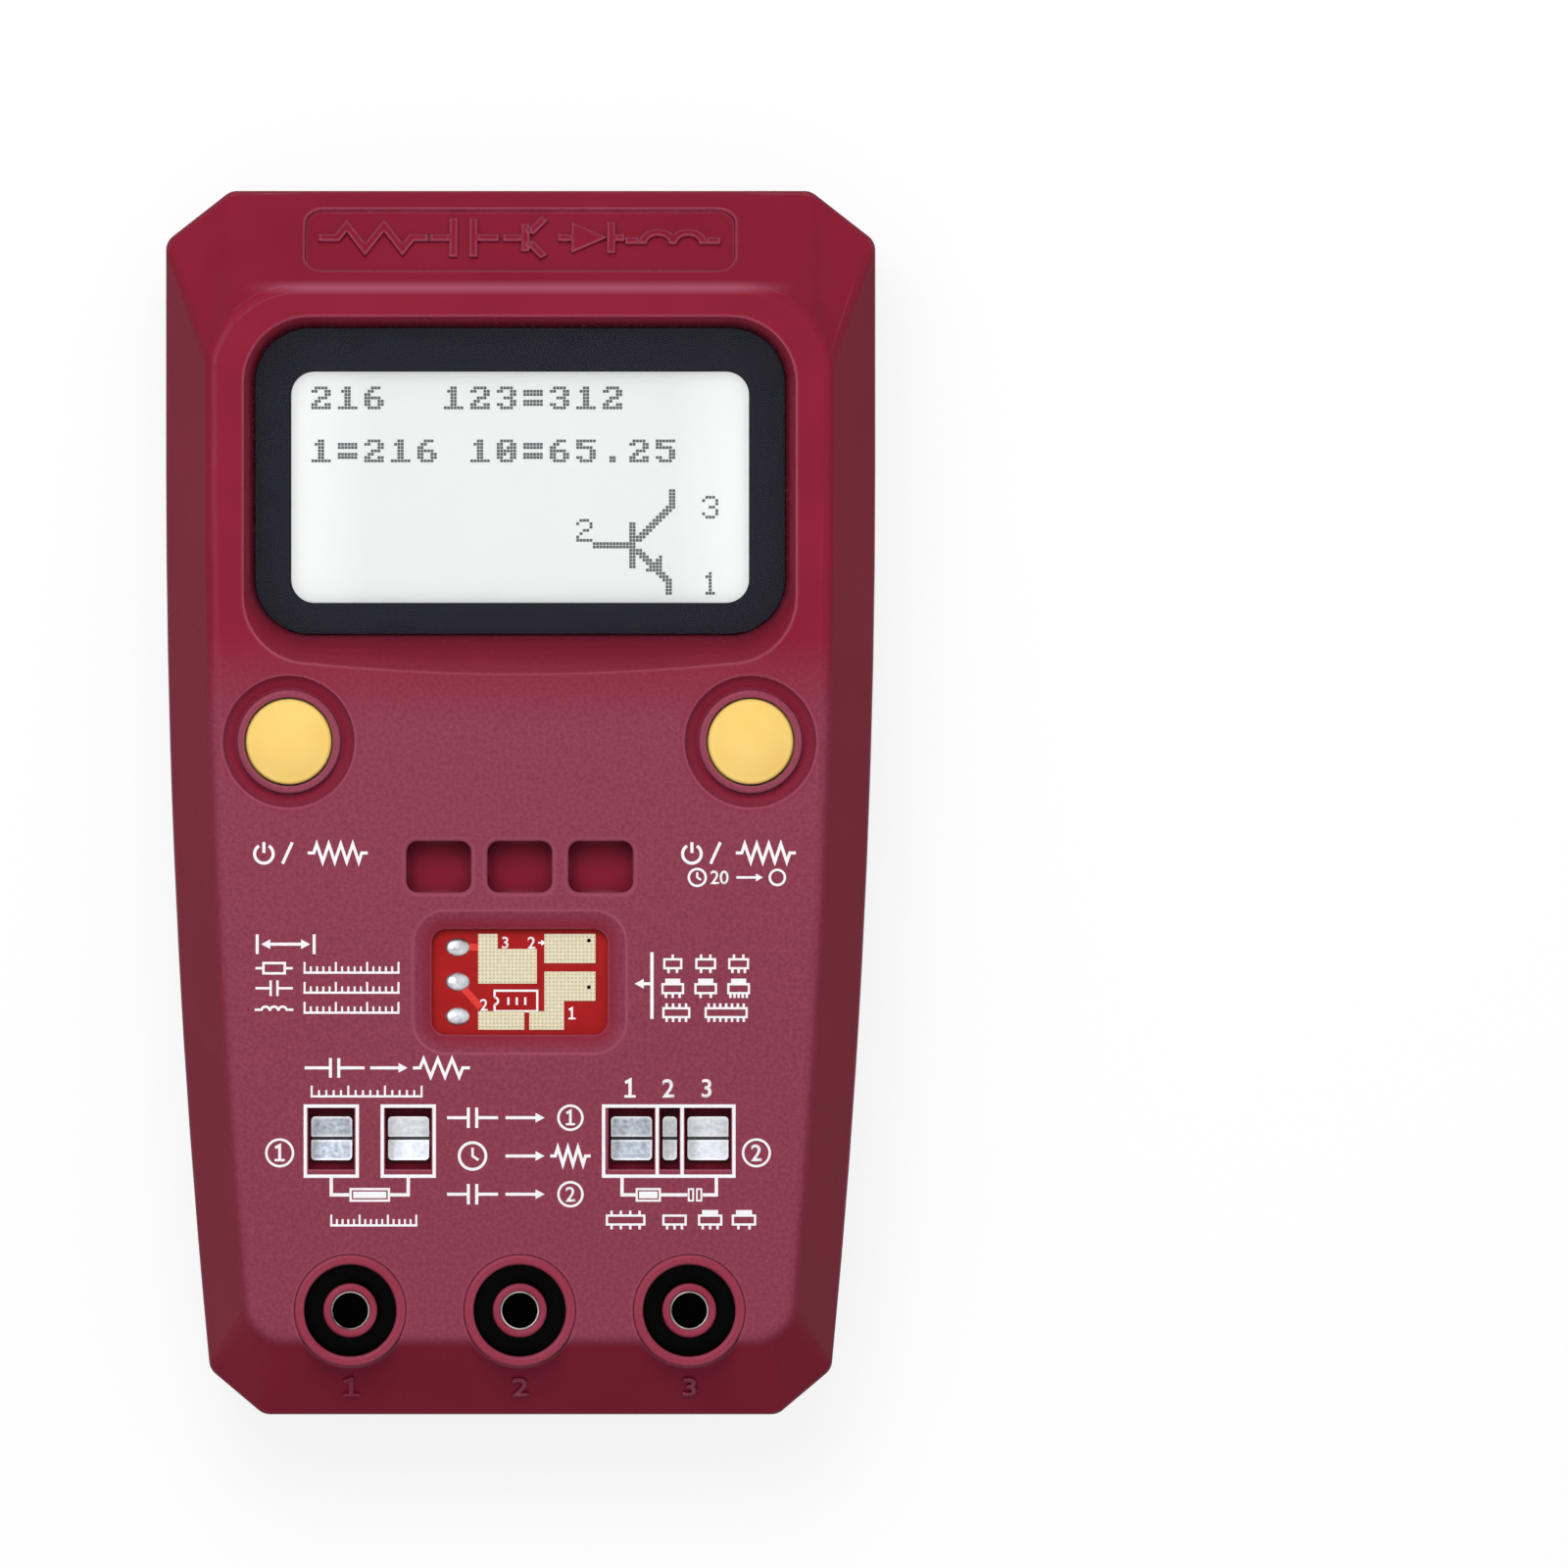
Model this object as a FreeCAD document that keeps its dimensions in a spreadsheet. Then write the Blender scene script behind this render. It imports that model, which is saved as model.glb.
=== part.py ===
import FreeCAD, Part
import math
import os
from types import SimpleNamespace

import Sketcher
from FreeCAD import Vector

# A handheld component tester lying on its back: +X to the right of the display, +Y to its top end, +Z out of
# the face. Millimetres. The origin is under the middle of the case, on the surface that the tester lies on.

doc = FreeCAD.newDocument("component_tester")
sheet = doc.addObject("Spreadsheet::Sheet", "sizes")
NEAR = 0.001  # places closer than this are the same place
RIM_BENDS = 3  # flats that make a rounded rim
SLOPE_BENDS = 5  # flats that make the slope round the lens
LEFT = "left"  # marks an arc of an outline that bulges to the left
# Where the creases of the case's corners meet the rounded corners of the face, as shares of the turn.
TOP_CREASES = (0, 0.12, 0.27, 0.42, 1)
BOTTOM_CREASES = (0, 0.3, 0.7, 1)

SIZES = (
    # case
    ("wall", 2.2, "wall of both case halves"),
    ("parting_height", 14.0, "seam between the case halves, above the back"),
    ("bevel_rise", 9.0, "height of the bevels round the face"),
    ("bevel_side", 5.1, "width of the side bevels"),
    ("bevel_top", 11.2, "width of the slope at the top end"),
    ("bevel_bottom", 8.8, "width of the slope at the jack end"),
    ("top_cut_across", 7.3, "cut top corners, across"),
    ("top_cut_along", 5.7, "cut top corners, along"),
    ("bottom_cut_across", 6.05, "cut bottom corners, across"),
    ("bottom_cut_along", 5.1, "cut bottom corners, along"),
    ("straight_side", 31.7, "straight part of the sides, from the top end"),
    ("outline_round", 2.0, "rounding of the outline's corners"),
    ("face_round_top", 10.0, "rounding of the face's top corners"),
    ("face_round_bottom", 4.5, "rounding of the face's bottom corners"),
    ("face_edge_round", 1.6, "rounding of the edge round the face"),
    ("shoulder_round", 0.9, "rounding of the edge under the bevels"),
    ("back_edge_round", 1.4, "rounding of the back's edge"),
    ("back_draft", 1.0, "draft of the rear cover's sides"),
    ("lip_height", 1.6, "locating lip above the seam"),
    ("lip_wall", 1.1, "locating lip's wall"),
    ("fit_gap", 0.15, "gap of parts that locate each other"),
    ("free_gap", 0.3, "gap of parts that pass each other"),
    # screen
    ("lens_width", 59.6, "screen lens"),
    ("lens_height", 34.4, "screen lens"),
    ("lens_thickness", 1.2, "screen lens"),
    ("lens_round", 6.2, "screen lens corners"),
    ("lens_sink", 3.2, "lens surface below the face"),
    ("rim_slope", 1.3, "slope round the lens, top and sides"),
    ("rim_slope_bottom", 3.4, "slope below the lens"),
    ("rim_bow", 1.2, "bow of the slope's lower edge"),
    ("rim_step", 0.3, "upright step between lens and slope"),
    ("rim_turn", 50.0, "turn of the slope, in degrees"),
    ("frame_side", 3.8, "face beside the screen recess"),
    ("frame_top", 3.1, "face above the screen recess"),
    ("mask_thickness", 0.1, "black mask film"),
    ("view_width", 51.5, "clear window of the mask"),
    ("view_height", 26.0, "clear window of the mask"),
    ("view_round", 2.6, "clear window's corners"),
    ("view_drop", 0.7, "clear window's centre below the lens centre"),
    ("ledge_width", 2.4, "ledge that the lens is glued to"),
    ("ledge_thickness", 1.2, "ledge that the lens is glued to"),
    ("glass_thickness", 1.6, "display glass"),
    ("glass_side", 2.7, "display glass beside the clear window"),
    ("glass_top", 3.0, "display glass above the clear window"),
    ("glass_bottom", 5.5, "display glass below the clear window"),
    ("glass_step", 2.6, "contact ledge of the lower glass"),
    ("backlight_thickness", 2.2, "display backlight"),
    ("backlight_round", 0.6, "display backlight's corners"),
    ("cradle_wall", 1.2, "ribs round the display"),
    ("cradle_reach", 4.6, "ribs below the ledge's top"),
    ("lcd_pin_pitch", 2.54, "display pins"),
    ("lcd_pin_count", 16, "display pins"),
    ("lcd_pin_width", 0.6, "display pins"),
    ("lcd_pin_inset", 1.2, "display pins from the display's lower edge"),
    ("pin_tail", 0.8, "pins below the board"),
    # buttons
    ("button_inset", 5.15, "button centres inside the sides of the screen recess"),
    ("button_gap", 1.3, "between screen recess and button dish"),
    ("cap_radius", 4.8, "button cap"),
    ("cap_rim_rise", 0.4, "cap's rim above the face"),
    ("cap_dome", 0.8, "cap's dome"),
    ("cap_edge_round", 0.5, "cap's rim"),
    ("cap_flange", 0.9, "cap's retaining flange, beyond the cap"),
    ("cap_flange_thickness", 0.8, "cap's retaining flange"),
    ("cap_skin", 1.5, "cap's wall"),
    ("cap_post_radius", 2.0, "post under the cap"),
    ("cap_gap", 0.2, "round the cap"),
    ("cap_drop", 0.4, "flange below the cover at rest"),
    ("collar_wall", 0.85, "ring round the button hole"),
    ("collar_round", 0.45, "rounded outer edge of the ring"),
    ("dish_radius", 7.45, "dish round the button"),
    ("dish_bowl", 1.8, "hollow of the dish, as a radius"),
    ("dish_depth", 1.2, "dish round the button"),
    ("switch_width", 6.0, "key switch"),
    ("switch_height", 3.5, "key switch"),
    ("switch_bevel", 0.4, "key switch"),
    ("stem_radius", 1.7, "key switch plunger"),
    ("stem_sunk", 0.8, "plunger inside the switch"),
    ("stem_room", 0.8, "free depth under the plunger"),
    ("stem_gap", 0.1, "round the plunger"),
    # parts trays
    ("tray_width", 8.1, "parts tray"),
    ("tray_height", 6.6, "parts tray"),
    ("tray_depth", 5.0, "parts tray"),
    ("tray_round", 1.2, "parts tray corners"),
    ("tray_web", 1.0, "between trays"),
    ("tray_gap", 3.3, "between button dish and trays"),
    ("tray_flare", 0.45, "rounded rim"),
    ("tray_wall", 1.2, "tray walls under the face"),
    # small board for surface-mount parts
    ("pad_window_width", 19.8, "window over the small board"),
    ("pad_window_height", 11.9, "window over the small board"),
    ("pad_window_round", 1.6, "window corners"),
    ("pad_window_flare", 2.1, "slope round the window"),
    ("pad_window_step", 1.2, "upright step under the slope"),
    ("pad_window_gap", 1.6, "between trays and the slope"),
    ("small_board_margin", 1.6, "small board beyond its window"),
    ("small_board_thickness", 1.6, "small board"),
    ("small_board_round", 1.0, "small board corners"),
    ("solder_pin_radius", 0.45, "pins of the small board"),
    ("solder_pin_inset", 2.9, "pins from the window's left edge"),
    ("solder_pin_pitch", 3.9, "pins of the small board"),
    ("solder_length", 2.8, "solder on the pins, across"),
    ("solder_width", 2.1, "solder on the pins, along"),
    ("solder_height", 0.6, "solder on the pins"),
    ("pad_thickness", 0.12, "bare pads"),
    ("pad_left", 4.7, "pads, left edge from the window's centre"),
    ("pad_tab", 2.2, "pads, narrow tab"),
    ("pad_inner_left", 1.9, "pads, right edge of the left pad"),
    ("pad_foot", 0.5, "pads, right edge of the lower left pad"),
    ("pad_toe", 1.05, "pads, left edge of the lower right foot"),
    ("pad_inner_right", 2.75, "pads, left edge of the right pads"),
    ("pad_right", 8.5, "pads, right edge of the right pads"),
    ("pad_top", 5.4, "pads, top row"),
    ("pad_shoulder", 3.7, "pads, shoulder of the left pad"),
    ("pad_upper", 2.1, "pads, lower edge of the upper right pad"),
    ("pad_middle", 1.15, "pads, top of the lower right pad"),
    ("pad_waist", 0.2, "pads, lower edge of the left pad"),
    ("pad_knee", 2.15, "pads, lower edge of the lower right pad"),
    ("pad_low", 3.3, "pads, top of the lower row"),
    ("pad_bottom", 5.4, "pads, bottom row"),
    # ports with spring contacts
    ("port_spread", 16.85, "port centres from the middle"),
    ("port_gap", 6.1, "between the small board's slope and the ports"),
    ("port_height", 6.9, "port windows"),
    ("port_wide", 5.2, "wide port window"),
    ("port_narrow", 2.2, "narrow port window"),
    ("port_web", 0.6, "between the windows of port 2"),
    ("port_pair_web", 3.45, "between the windows of port 1"),
    ("port_well", 3.6, "port wells below the cover's wall"),
    ("port_well_wall", 1.0, "port wells"),
    ("contact_side", 0.3, "beside a contact in its window"),
    ("contact_strip", 0.35, "spring contact strip"),
    ("contact_base", 2.4, "half base of a spring contact"),
    ("contact_slot", 0.18, "half slot between the jaws"),
    ("contact_flare", 2.45, "half mouth of the jaws"),
    ("contact_mouth", 0.55, "jaw height above the slot"),
    ("contact_sink", 2.2, "jaw tips below the face"),
    ("contact_corner", 0.45, "rounded corners of the jaw lips"),
    # jacks
    ("jack_pitch", 19.05, "jack spacing"),
    ("jack_gap", 9.6, "between ports and jack rims"),
    ("jack_end", 11.92, "jack centres from the end"),
    ("jack_side", 9.72, "outer jack rim from the case side"),
    ("jack_rim_radius", 6.28, "jack rim"),
    ("jack_rim_wall", 1.1, "jack rim"),
    ("jack_rim_rise", 0.4, "jack rim above the face"),
    ("jack_post_radius", 3.05, "insulating post"),
    ("jack_post_drop", 0.4, "post below the face"),
    ("jack_post_cap", 0.5, "post over the barrel"),
    ("jack_mouth", 0.15, "post's mouth wider than the bore, so that the barrel's end shows"),
    ("jack_edge_round", 0.4, "rounded edges of rim and post"),
    ("jack_floor", 1.2, "floor of the well round the post"),
    ("jack_flange", 1.1, "socket's flange, beyond its rim"),
    ("jack_flange_thickness", 1.2, "socket's flange"),
    ("jack_seat_wall", 1.3, "ring inside the cover that holds a socket's flange"),
    ("socket_gap", 0.05, "socket in the cover"),
    ("jack_bore_radius", 2.0, "jack bore, for a 4 mm plug"),
    ("barrel_wall", 0.3, "jack barrel"),
    ("barrel_gap", 0.05, "barrel in its post"),
    ("barrel_depth", 19.0, "jack bore depth"),
    ("barrel_bottom", 0.8, "jack barrel's closed end"),
    ("barrel_flange", 1.4, "barrel's soldering flange, beyond the barrel"),
    ("barrel_flange_thickness", 0.6, "barrel's soldering flange"),
    ("barrel_cross", 0.7, "cross slot in the barrel's end"),
    # boards
    ("board_depth", 11.4, "main board's top below the face"),
    ("board_thickness", 1.6, "main board"),
    ("board_side_gap", 9.0, "main board's edge from the case side"),
    ("board_tail_margin", 6.35, "board's tail beyond the outer jacks"),
    ("board_tail_end", 5.0, "board's tail from the end of the case"),
    ("board_tail_step", 3.0, "board's step above the jack rims"),
    ("board_pin_edge", 1.5, "board's edge above the display pins"),
    ("board_boss_radius", 2.5, "bosses that carry the board"),
    ("board_boss_edge", 3.0, "lower bosses from the board's edge"),
    ("board_screw_radius", 1.0, "board screws"),
    ("board_screw_head", 1.9, "board screw heads"),
    ("board_screw_head_height", 1.4, "board screw heads"),
    ("board_screw_length", 6.0, "board screws"),
    # parts on the main board
    ("chip_width", 7.0, "microcontroller"),
    ("chip_height", 1.2, "microcontroller"),
    ("chip_rise", 0.15, "microcontroller over the board"),
    ("chip_lead", 1.0, "microcontroller leads"),
    ("chip_lead_thickness", 0.3, "microcontroller leads"),
    ("chip_lead_pitch", 0.8, "microcontroller leads"),
    ("chip_lead_width", 0.35, "microcontroller leads"),
    ("chip_leads_a_side", 8, "microcontroller leads"),
    ("chip_drop", 3.0, "microcontroller below the small board"),
    ("crystal_length", 10.2, "crystal can"),
    ("crystal_width", 3.8, "crystal can"),
    ("crystal_height", 3.3, "crystal can"),
    ("crystal_round", 1.7, "crystal can's ends"),
    ("crystal_gap", 3.0, "crystal below the microcontroller"),
    ("regulator_width", 6.5, "regulator"),
    ("regulator_length", 6.0, "regulator"),
    ("regulator_height", 2.3, "regulator"),
    ("regulator_tab", 1.1, "regulator tab and legs"),
    ("regulator_tab_width", 5.2, "regulator tab"),
    ("regulator_tab_thickness", 0.45, "regulator tab and legs"),
    ("regulator_leg_width", 0.75, "regulator legs"),
    ("regulator_leg_pitch", 2.2, "regulator legs"),
    ("side_parts_spread", 21.0, "parts at the board's sides"),
    ("resistor_length", 9.0, "discharge resistor"),
    ("resistor_radius", 1.6, "discharge resistor"),
    ("resistor_cap", 1.6, "discharge resistor's end caps"),
    ("resistor_waist", 0.15, "discharge resistor's body under its end caps"),
    ("resistor_reach", 2.4, "discharge resistor's leads beyond its ends"),
    ("resistor_lead", 0.35, "discharge resistor leads"),
    ("resistor_leg", 0.3, "leads where they go down to the board"),
    ("resistor_rise", 0.3, "discharge resistor over the board"),
    ("capacitor_radius", 3.15, "filter capacitor"),
    ("capacitor_height", 5.4, "filter capacitor"),
    ("capacitor_groove", 1.2, "filter capacitor's rolled groove above the board"),
    ("capacitor_groove_rise", 0.3, "half height of the rolled groove"),
    ("capacitor_groove_depth", 0.15, "rolled groove and top edge"),
    # battery and its box
    ("battery_length", 46.0, "block battery, without its terminals"),
    ("battery_width", 26.5, "block battery"),
    ("battery_height", 17.5, "block battery"),
    ("battery_round", 2.0, "block battery's edges"),
    ("terminal_height", 2.4, "battery terminals"),
    ("terminal_pitch", 12.7, "battery terminals"),
    ("stud_radius", 2.85, "small battery terminal"),
    ("cup_radius", 4.0, "large battery terminal"),
    ("snap_thickness", 3.4, "battery snap"),
    ("snap_width", 12.0, "battery snap"),
    ("snap_length", 25.0, "battery snap"),
    ("snap_round", 5.4, "battery snap's corners"),
    ("lead_room", 4.4, "room for the leads beside the snap"),
    ("battery_play", 0.4, "round the battery"),
    ("box_wall", 1.5, "battery box walls"),
    ("box_roof", 1.2, "battery box roof"),
    ("box_to_display", 0.4, "between battery box and backlight"),
    ("lead_radius", 0.65, "snap leads"),
    ("lead_bend", 1.6, "snap leads"),
    ("lead_spread", 1.9, "between the two leads"),
    ("lead_inset", 5.7, "leads from the board's top edge"),
    ("lead_slot_rise", 3.8, "half height of the slot that the leads leave by"),
    # battery door
    ("door_thickness", 2.0, "battery door"),
    ("door_sunk", 0.15, "door's outside above the back"),
    ("door_tongue", 1.0, "door's side tongues"),
    ("door_lip", 0.8, "lips under the tongues"),
    ("door_end_gap", 0.3, "door's inner end"),
    ("rail_wall", 0.9, "rails beside the door"),
    ("rail_height", 1.4, "rails over the door"),
    ("grip_width", 16.0, "grip grooves of the door"),
    ("grip_groove", 1.1, "grip grooves of the door"),
    ("grip_pitch", 2.4, "grip grooves of the door"),
    ("grip_depth", 0.5, "grip grooves of the door"),
    ("grip_count", 5, "grip grooves of the door"),
    ("grip_inset", 8.0, "first grip groove from the end"),
    # case screws
    ("case_boss_radius", 3.4, "bosses of the case screws"),
    ("case_boss_side", 0.8, "bosses from the wall"),
    ("case_screw_radius", 1.25, "case screws"),
    ("case_screw_head", 2.5, "case screw heads"),
    ("case_screw_head_height", 2.0, "case screw heads"),
    ("case_screw_recess", 5.0, "case screw heads above the back"),
    ("case_screw_grip", 7.0, "case screws past the seam"),
    ("screw_gap", 0.1, "round a screw"),
    ("screw_slot", 0.5, "drive recess of the screws"),
    # bare name place on the top slope
    ("plate_width", 48.4, "bare place on the top slope"),
    ("plate_height", 9.0, "bare place on the top slope"),
    ("plate_depth", 0.5, "bare place on the top slope"),
    ("plate_round", 2.0, "bare place on the top slope"),
)

for row, (alias, number, note) in enumerate(SIZES, start=1):
    sheet.set(f"A{row}", alias)
    sheet.set(f"B{row}", str(number))
    sheet.set(f"C{row}", note)
    sheet.setAlias(f"B{row}", alias)
doc.recompute()


class Size:
    """A length with its number and the sheet expression that gives it."""

    def __init__(self, number, text):
        self.number = float(number)
        self.text = text

    def __float__(self):
        return self.number

    def __add__(self, other):
        other = size(other)
        return Size(self.number + other.number, f"({self.text} + {other.text})")

    def __sub__(self, other):
        other = size(other)
        return Size(self.number - other.number, f"({self.text} - {other.text})")

    def __mul__(self, other):
        other = size(other)
        return Size(self.number * other.number, f"({self.text} * {other.text})")

    def __truediv__(self, other):
        other = size(other)
        return Size(self.number / other.number, f"({self.text} / {other.text})")

    def __radd__(self, other):
        return size(other) + self

    def __rsub__(self, other):
        return size(other) - self

    def __rmul__(self, other):
        return size(other) * self

    def __neg__(self):
        return size(0) - self


def size(value):
    return value if isinstance(value, Size) else Size(value, repr(value))


def larger(one, other):
    one, other = size(one), size(other)
    return Size(max(one.number, other.number), f"max({one.text}; {other.text})")


s = SimpleNamespace(**{alias: Size(sheet.get(alias), f"sizes.{alias}") for alias, _, _ in SIZES})

# Heights, added up from the back: door, battery, its box, display, lens.

battery_z = s.door_sunk + s.door_thickness + s.battery_play
roof_z = battery_z + s.battery_height + s.battery_play
backlight_z = roof_z + s.box_roof + s.box_to_display
glass_z = backlight_z + s.backlight_thickness
ledge_z = glass_z + s.glass_thickness
mask_z = ledge_z + s.ledge_thickness
lens_z = mask_z + s.mask_thickness
face_z = lens_z + s.lens_thickness + s.lens_sink
ceiling_z = face_z - s.wall
shoulder_z = face_z - s.bevel_rise
parting_z = s.parting_height
board_z = face_z - s.board_depth
board_under_z = board_z - s.board_thickness

# Widths, from the middle out.

lens_half = s.lens_width / 2
recess_half = lens_half + s.rim_slope
button_x = recess_half - s.button_inset
box_half = (s.battery_length + s.terminal_height + s.lead_room) / 2 + s.battery_play
door_half = box_half + s.fit_gap
rail_half = door_half + s.door_tongue + s.fit_gap + s.rail_wall
half_width = larger(
    recess_half + s.frame_side + s.bevel_side,
    rail_half + s.fit_gap + 2 * s.case_boss_radius + s.case_boss_side + s.wall,
)
bottom_half_width = s.jack_pitch + s.jack_rim_radius + s.jack_side

# Rows down the face, added up from the top end.

rows_length = (
    s.bevel_top + s.frame_top + s.rim_slope + s.lens_height + s.rim_slope_bottom
    + s.button_gap + s.dish_radius + s.dish_radius
    + s.tray_gap + s.tray_height
    + s.pad_window_gap + s.pad_window_flare + s.pad_window_height + s.pad_window_flare
    + s.port_gap + s.port_height
    + s.jack_gap + s.jack_rim_radius + s.jack_end
)
half_length = rows_length / 2
face_top = half_length - s.bevel_top
lens_top = face_top - s.frame_top - s.rim_slope
lens_bottom = lens_top - s.lens_height
recess_bottom = lens_bottom - s.rim_slope_bottom
button_y = recess_bottom - s.button_gap - s.dish_radius
tray_top = button_y - s.dish_radius - s.tray_gap
tray_y = tray_top - s.tray_height / 2
pad_window_top = tray_top - s.tray_height - s.pad_window_gap - s.pad_window_flare
pad_window_y = pad_window_top - s.pad_window_height / 2
port_top = pad_window_top - s.pad_window_height - s.pad_window_flare - s.port_gap
port_y = port_top - s.port_height / 2
jack_y = s.jack_end - half_length
face_bottom = s.bevel_bottom - half_length
side_straight_y = half_length - s.straight_side

# Display, board and battery box, one below the other.

view_y = lens_top - s.lens_height / 2 - s.view_drop
glass_half = s.view_width / 2 + s.glass_side
glass_top_y = view_y + s.view_height / 2 + s.glass_top
glass_bottom_y = view_y - s.view_height / 2 - s.glass_bottom
cradle_top_y = glass_top_y + s.fit_gap + s.cradle_wall
cradle_bottom_y = glass_bottom_y - s.fit_gap - s.cradle_wall
lcd_pin_y = glass_bottom_y + s.lcd_pin_inset
board_top_y = lcd_pin_y + s.board_pin_edge
box_bottom_y = board_top_y + s.free_gap
battery_bottom_y = box_bottom_y + s.box_wall + s.battery_play
battery_top_y = battery_bottom_y + s.battery_width
box_top_y = battery_top_y + s.battery_play + s.box_wall
board_half = half_width - s.board_side_gap
tail_half = s.jack_pitch + s.board_tail_margin
tail_y = jack_y + s.jack_rim_radius + s.board_tail_step
board_end_y = s.board_tail_end - half_length

# Screw places.

case_screw_places = [
    (half_width - s.wall - s.case_boss_side - s.case_boss_radius,
     larger(box_top_y, cradle_top_y) + s.case_boss_radius + s.free_gap),
    (larger(tail_half, s.jack_pitch + s.jack_rim_radius + s.jack_flange) + s.free_gap + s.case_boss_radius,
     jack_y),
]
board_screw_places = [
    (button_x - s.dish_radius - s.board_boss_radius,
     cradle_bottom_y - s.board_boss_radius - s.free_gap),
    (board_half - s.board_boss_edge, port_y - s.port_height / 2 - s.board_boss_radius),
]


def both_sides(places):
    """Each place on the right, with its mirror place on the left."""
    return [(sign * x, y) for x, y in places for sign in (1, -1)]


# Making of document objects.

nodes = []


def text(value):
    return size(value).text


def bind(obj, **values):
    for prop, value in values.items():
        obj.setExpression(prop, text(value))
    return obj


def place(obj, x, y, z):
    for axis, value in (("x", x), ("y", y), ("z", z)):
        obj.setExpression(f"Placement.Base.{axis}", text(value))
    return obj


def node(obj, label):
    """Mark a finished piece."""
    obj.Label = label
    nodes.append(obj)
    return obj


def block(name, x, y, z, length, width, height):
    """A box, centred on x and y and standing on z."""
    obj = bind(doc.addObject("Part::Box", name), Length=length, Width=width, Height=height)
    return place(obj, x - length / 2, y - width / 2, z)


def span(name, left, bottom, low, right, top, high):
    """A box between two corners."""
    left, bottom, low = size(left), size(bottom), size(low)
    obj = bind(doc.addObject("Part::Box", name), Length=right - left, Width=top - bottom, Height=high - low)
    return place(obj, left, bottom, low)


def rod(name, x, y, z, radius, height):
    return place(bind(doc.addObject("Part::Cylinder", name), Radius=radius, Height=height), x, y, z)


def fuse(name, shapes):
    obj = doc.addObject("Part::MultiFuse", name)
    obj.Shapes = shapes
    return obj


def cut(name, base, tools):
    obj = doc.addObject("Part::Cut", name)
    obj.Base = base
    obj.Tool = tools[0] if len(tools) == 1 else fuse(f"{name}_tools", tools)
    return obj


def group(name, shapes):
    """Separate solids of one node."""
    obj = doc.addObject("Part::Compound", name)
    obj.Links = shapes
    return obj


def form(name, shape):
    """A shape made in code from the sheet's sizes."""
    obj = doc.addObject("Part::Feature", name)
    obj.Shape = shape
    return obj


def new_body(name):
    return doc.addObject("PartDesign::Body", name)


def sketch_on(body, role, x=0, y=0, z=0):
    """An empty sketch on an origin plane of its body, moved by x, y and z in the plane's own axes."""
    plane = [feature for feature in body.Origin.OriginFeatures if feature.Role == role][0]
    sketch = body.newObject("Sketcher::SketchObject", f"{body.Name}_sketch")
    sketch.AttachmentSupport = [(plane, "")]
    sketch.MapMode = "FlatFace"
    for axis, value in (("x", x), ("y", y), ("z", z)):
        sketch.setExpression(f"AttachmentOffset.Base.{axis}", text(value))
    return sketch


def constrain(sketch, kind, value, *places):
    index = sketch.addConstraint(Sketcher.Constraint(kind, *places, float(value)))
    sketch.setExpression(f"Constraints[{index}]", text(value))


def draw(sketch, points):
    """A closed outline of (x, y) points. A third value is the radius of an arc to the next point: it bulges
    to the right, or to the left where a fourth value says so."""
    corners = [Vector(float(point[0]), float(point[1]), 0) for point in points]
    first_tips = []
    for index, point in enumerate(points):
        start, end = corners[index], corners[(index + 1) % len(points)]
        first_tips.append(2 if point[3:] == (LEFT,) else 1)
        if len(point) == 2:
            sketch.addGeometry(Part.LineSegment(start, end))
            continue
        if first_tips[-1] == 2:
            start, end = end, start
        radius = float(point[2])
        chord = end - start
        left = Vector(-chord.y, chord.x, 0).normalize()
        centre = start + chord * 0.5 + left * math.sqrt(radius ** 2 - chord.Length ** 2 / 4)
        angles = [math.atan2(tip.y - centre.y, tip.x - centre.x) for tip in (start, end)]
        sketch.addGeometry(Part.ArcOfCircle(Part.Circle(centre, Vector(0, 0, 1), radius), *angles))
    for index, point in enumerate(points):
        following = (index + 1) % len(points)
        first, last = first_tips[index], 3 - first_tips[index]
        sketch.addConstraint(Sketcher.Constraint("Coincident", index, last, following, first_tips[following]))
        constrain(sketch, "DistanceX", point[0], -1, 1, index, first)
        constrain(sketch, "DistanceY", point[1], -1, 1, index, first)
        if len(point) > 2:
            constrain(sketch, "Radius", point[2], index)
    return sketch


def draw_circle(sketch, x, y, radius):
    index = sketch.addGeometry(Part.Circle(Vector(float(x), float(y), 0), Vector(0, 0, 1), float(radius)))
    constrain(sketch, "DistanceX", x, -1, 1, index, 3)
    constrain(sketch, "DistanceY", y, -1, 1, index, 3)
    constrain(sketch, "Radius", radius, index)
    return sketch


def pad(body, sketch, length):
    feature = body.newObject("PartDesign::Pad", f"{body.Name}_pad")
    feature.Profile = sketch
    return bind(feature, Length=length)


def pocket(body, sketch, length, upwards=False):
    """A cut from the sketch, downwards unless upwards is set."""
    doc.recompute()
    before = body.Shape.Volume
    feature = body.newObject("PartDesign::Pocket", f"{body.Name}_pocket")
    feature.Profile = sketch
    feature.Reversed = upwards
    bind(feature, Length=length)
    doc.recompute()
    if body.Shape.Volume >= before:
        raise RuntimeError(f"{body.Name}: a pocket cut nothing")
    return feature


def round_edges(body, radius, chosen):
    """Round the edges of the body's tip that the test chooses."""
    doc.recompute()
    base = body.Tip
    names = [f"Edge{index}" for index, edge in enumerate(base.Shape.Edges, start=1) if chosen(edge)]
    fillet = body.newObject("PartDesign::Fillet", f"{body.Name}_fillet")
    fillet.Base = (base, names)
    return bind(fillet, Radius=radius)


def upright(edge):
    box = edge.BoundBox
    return box.ZLength > NEAR and box.XLength < NEAR and box.YLength < NEAR


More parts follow.
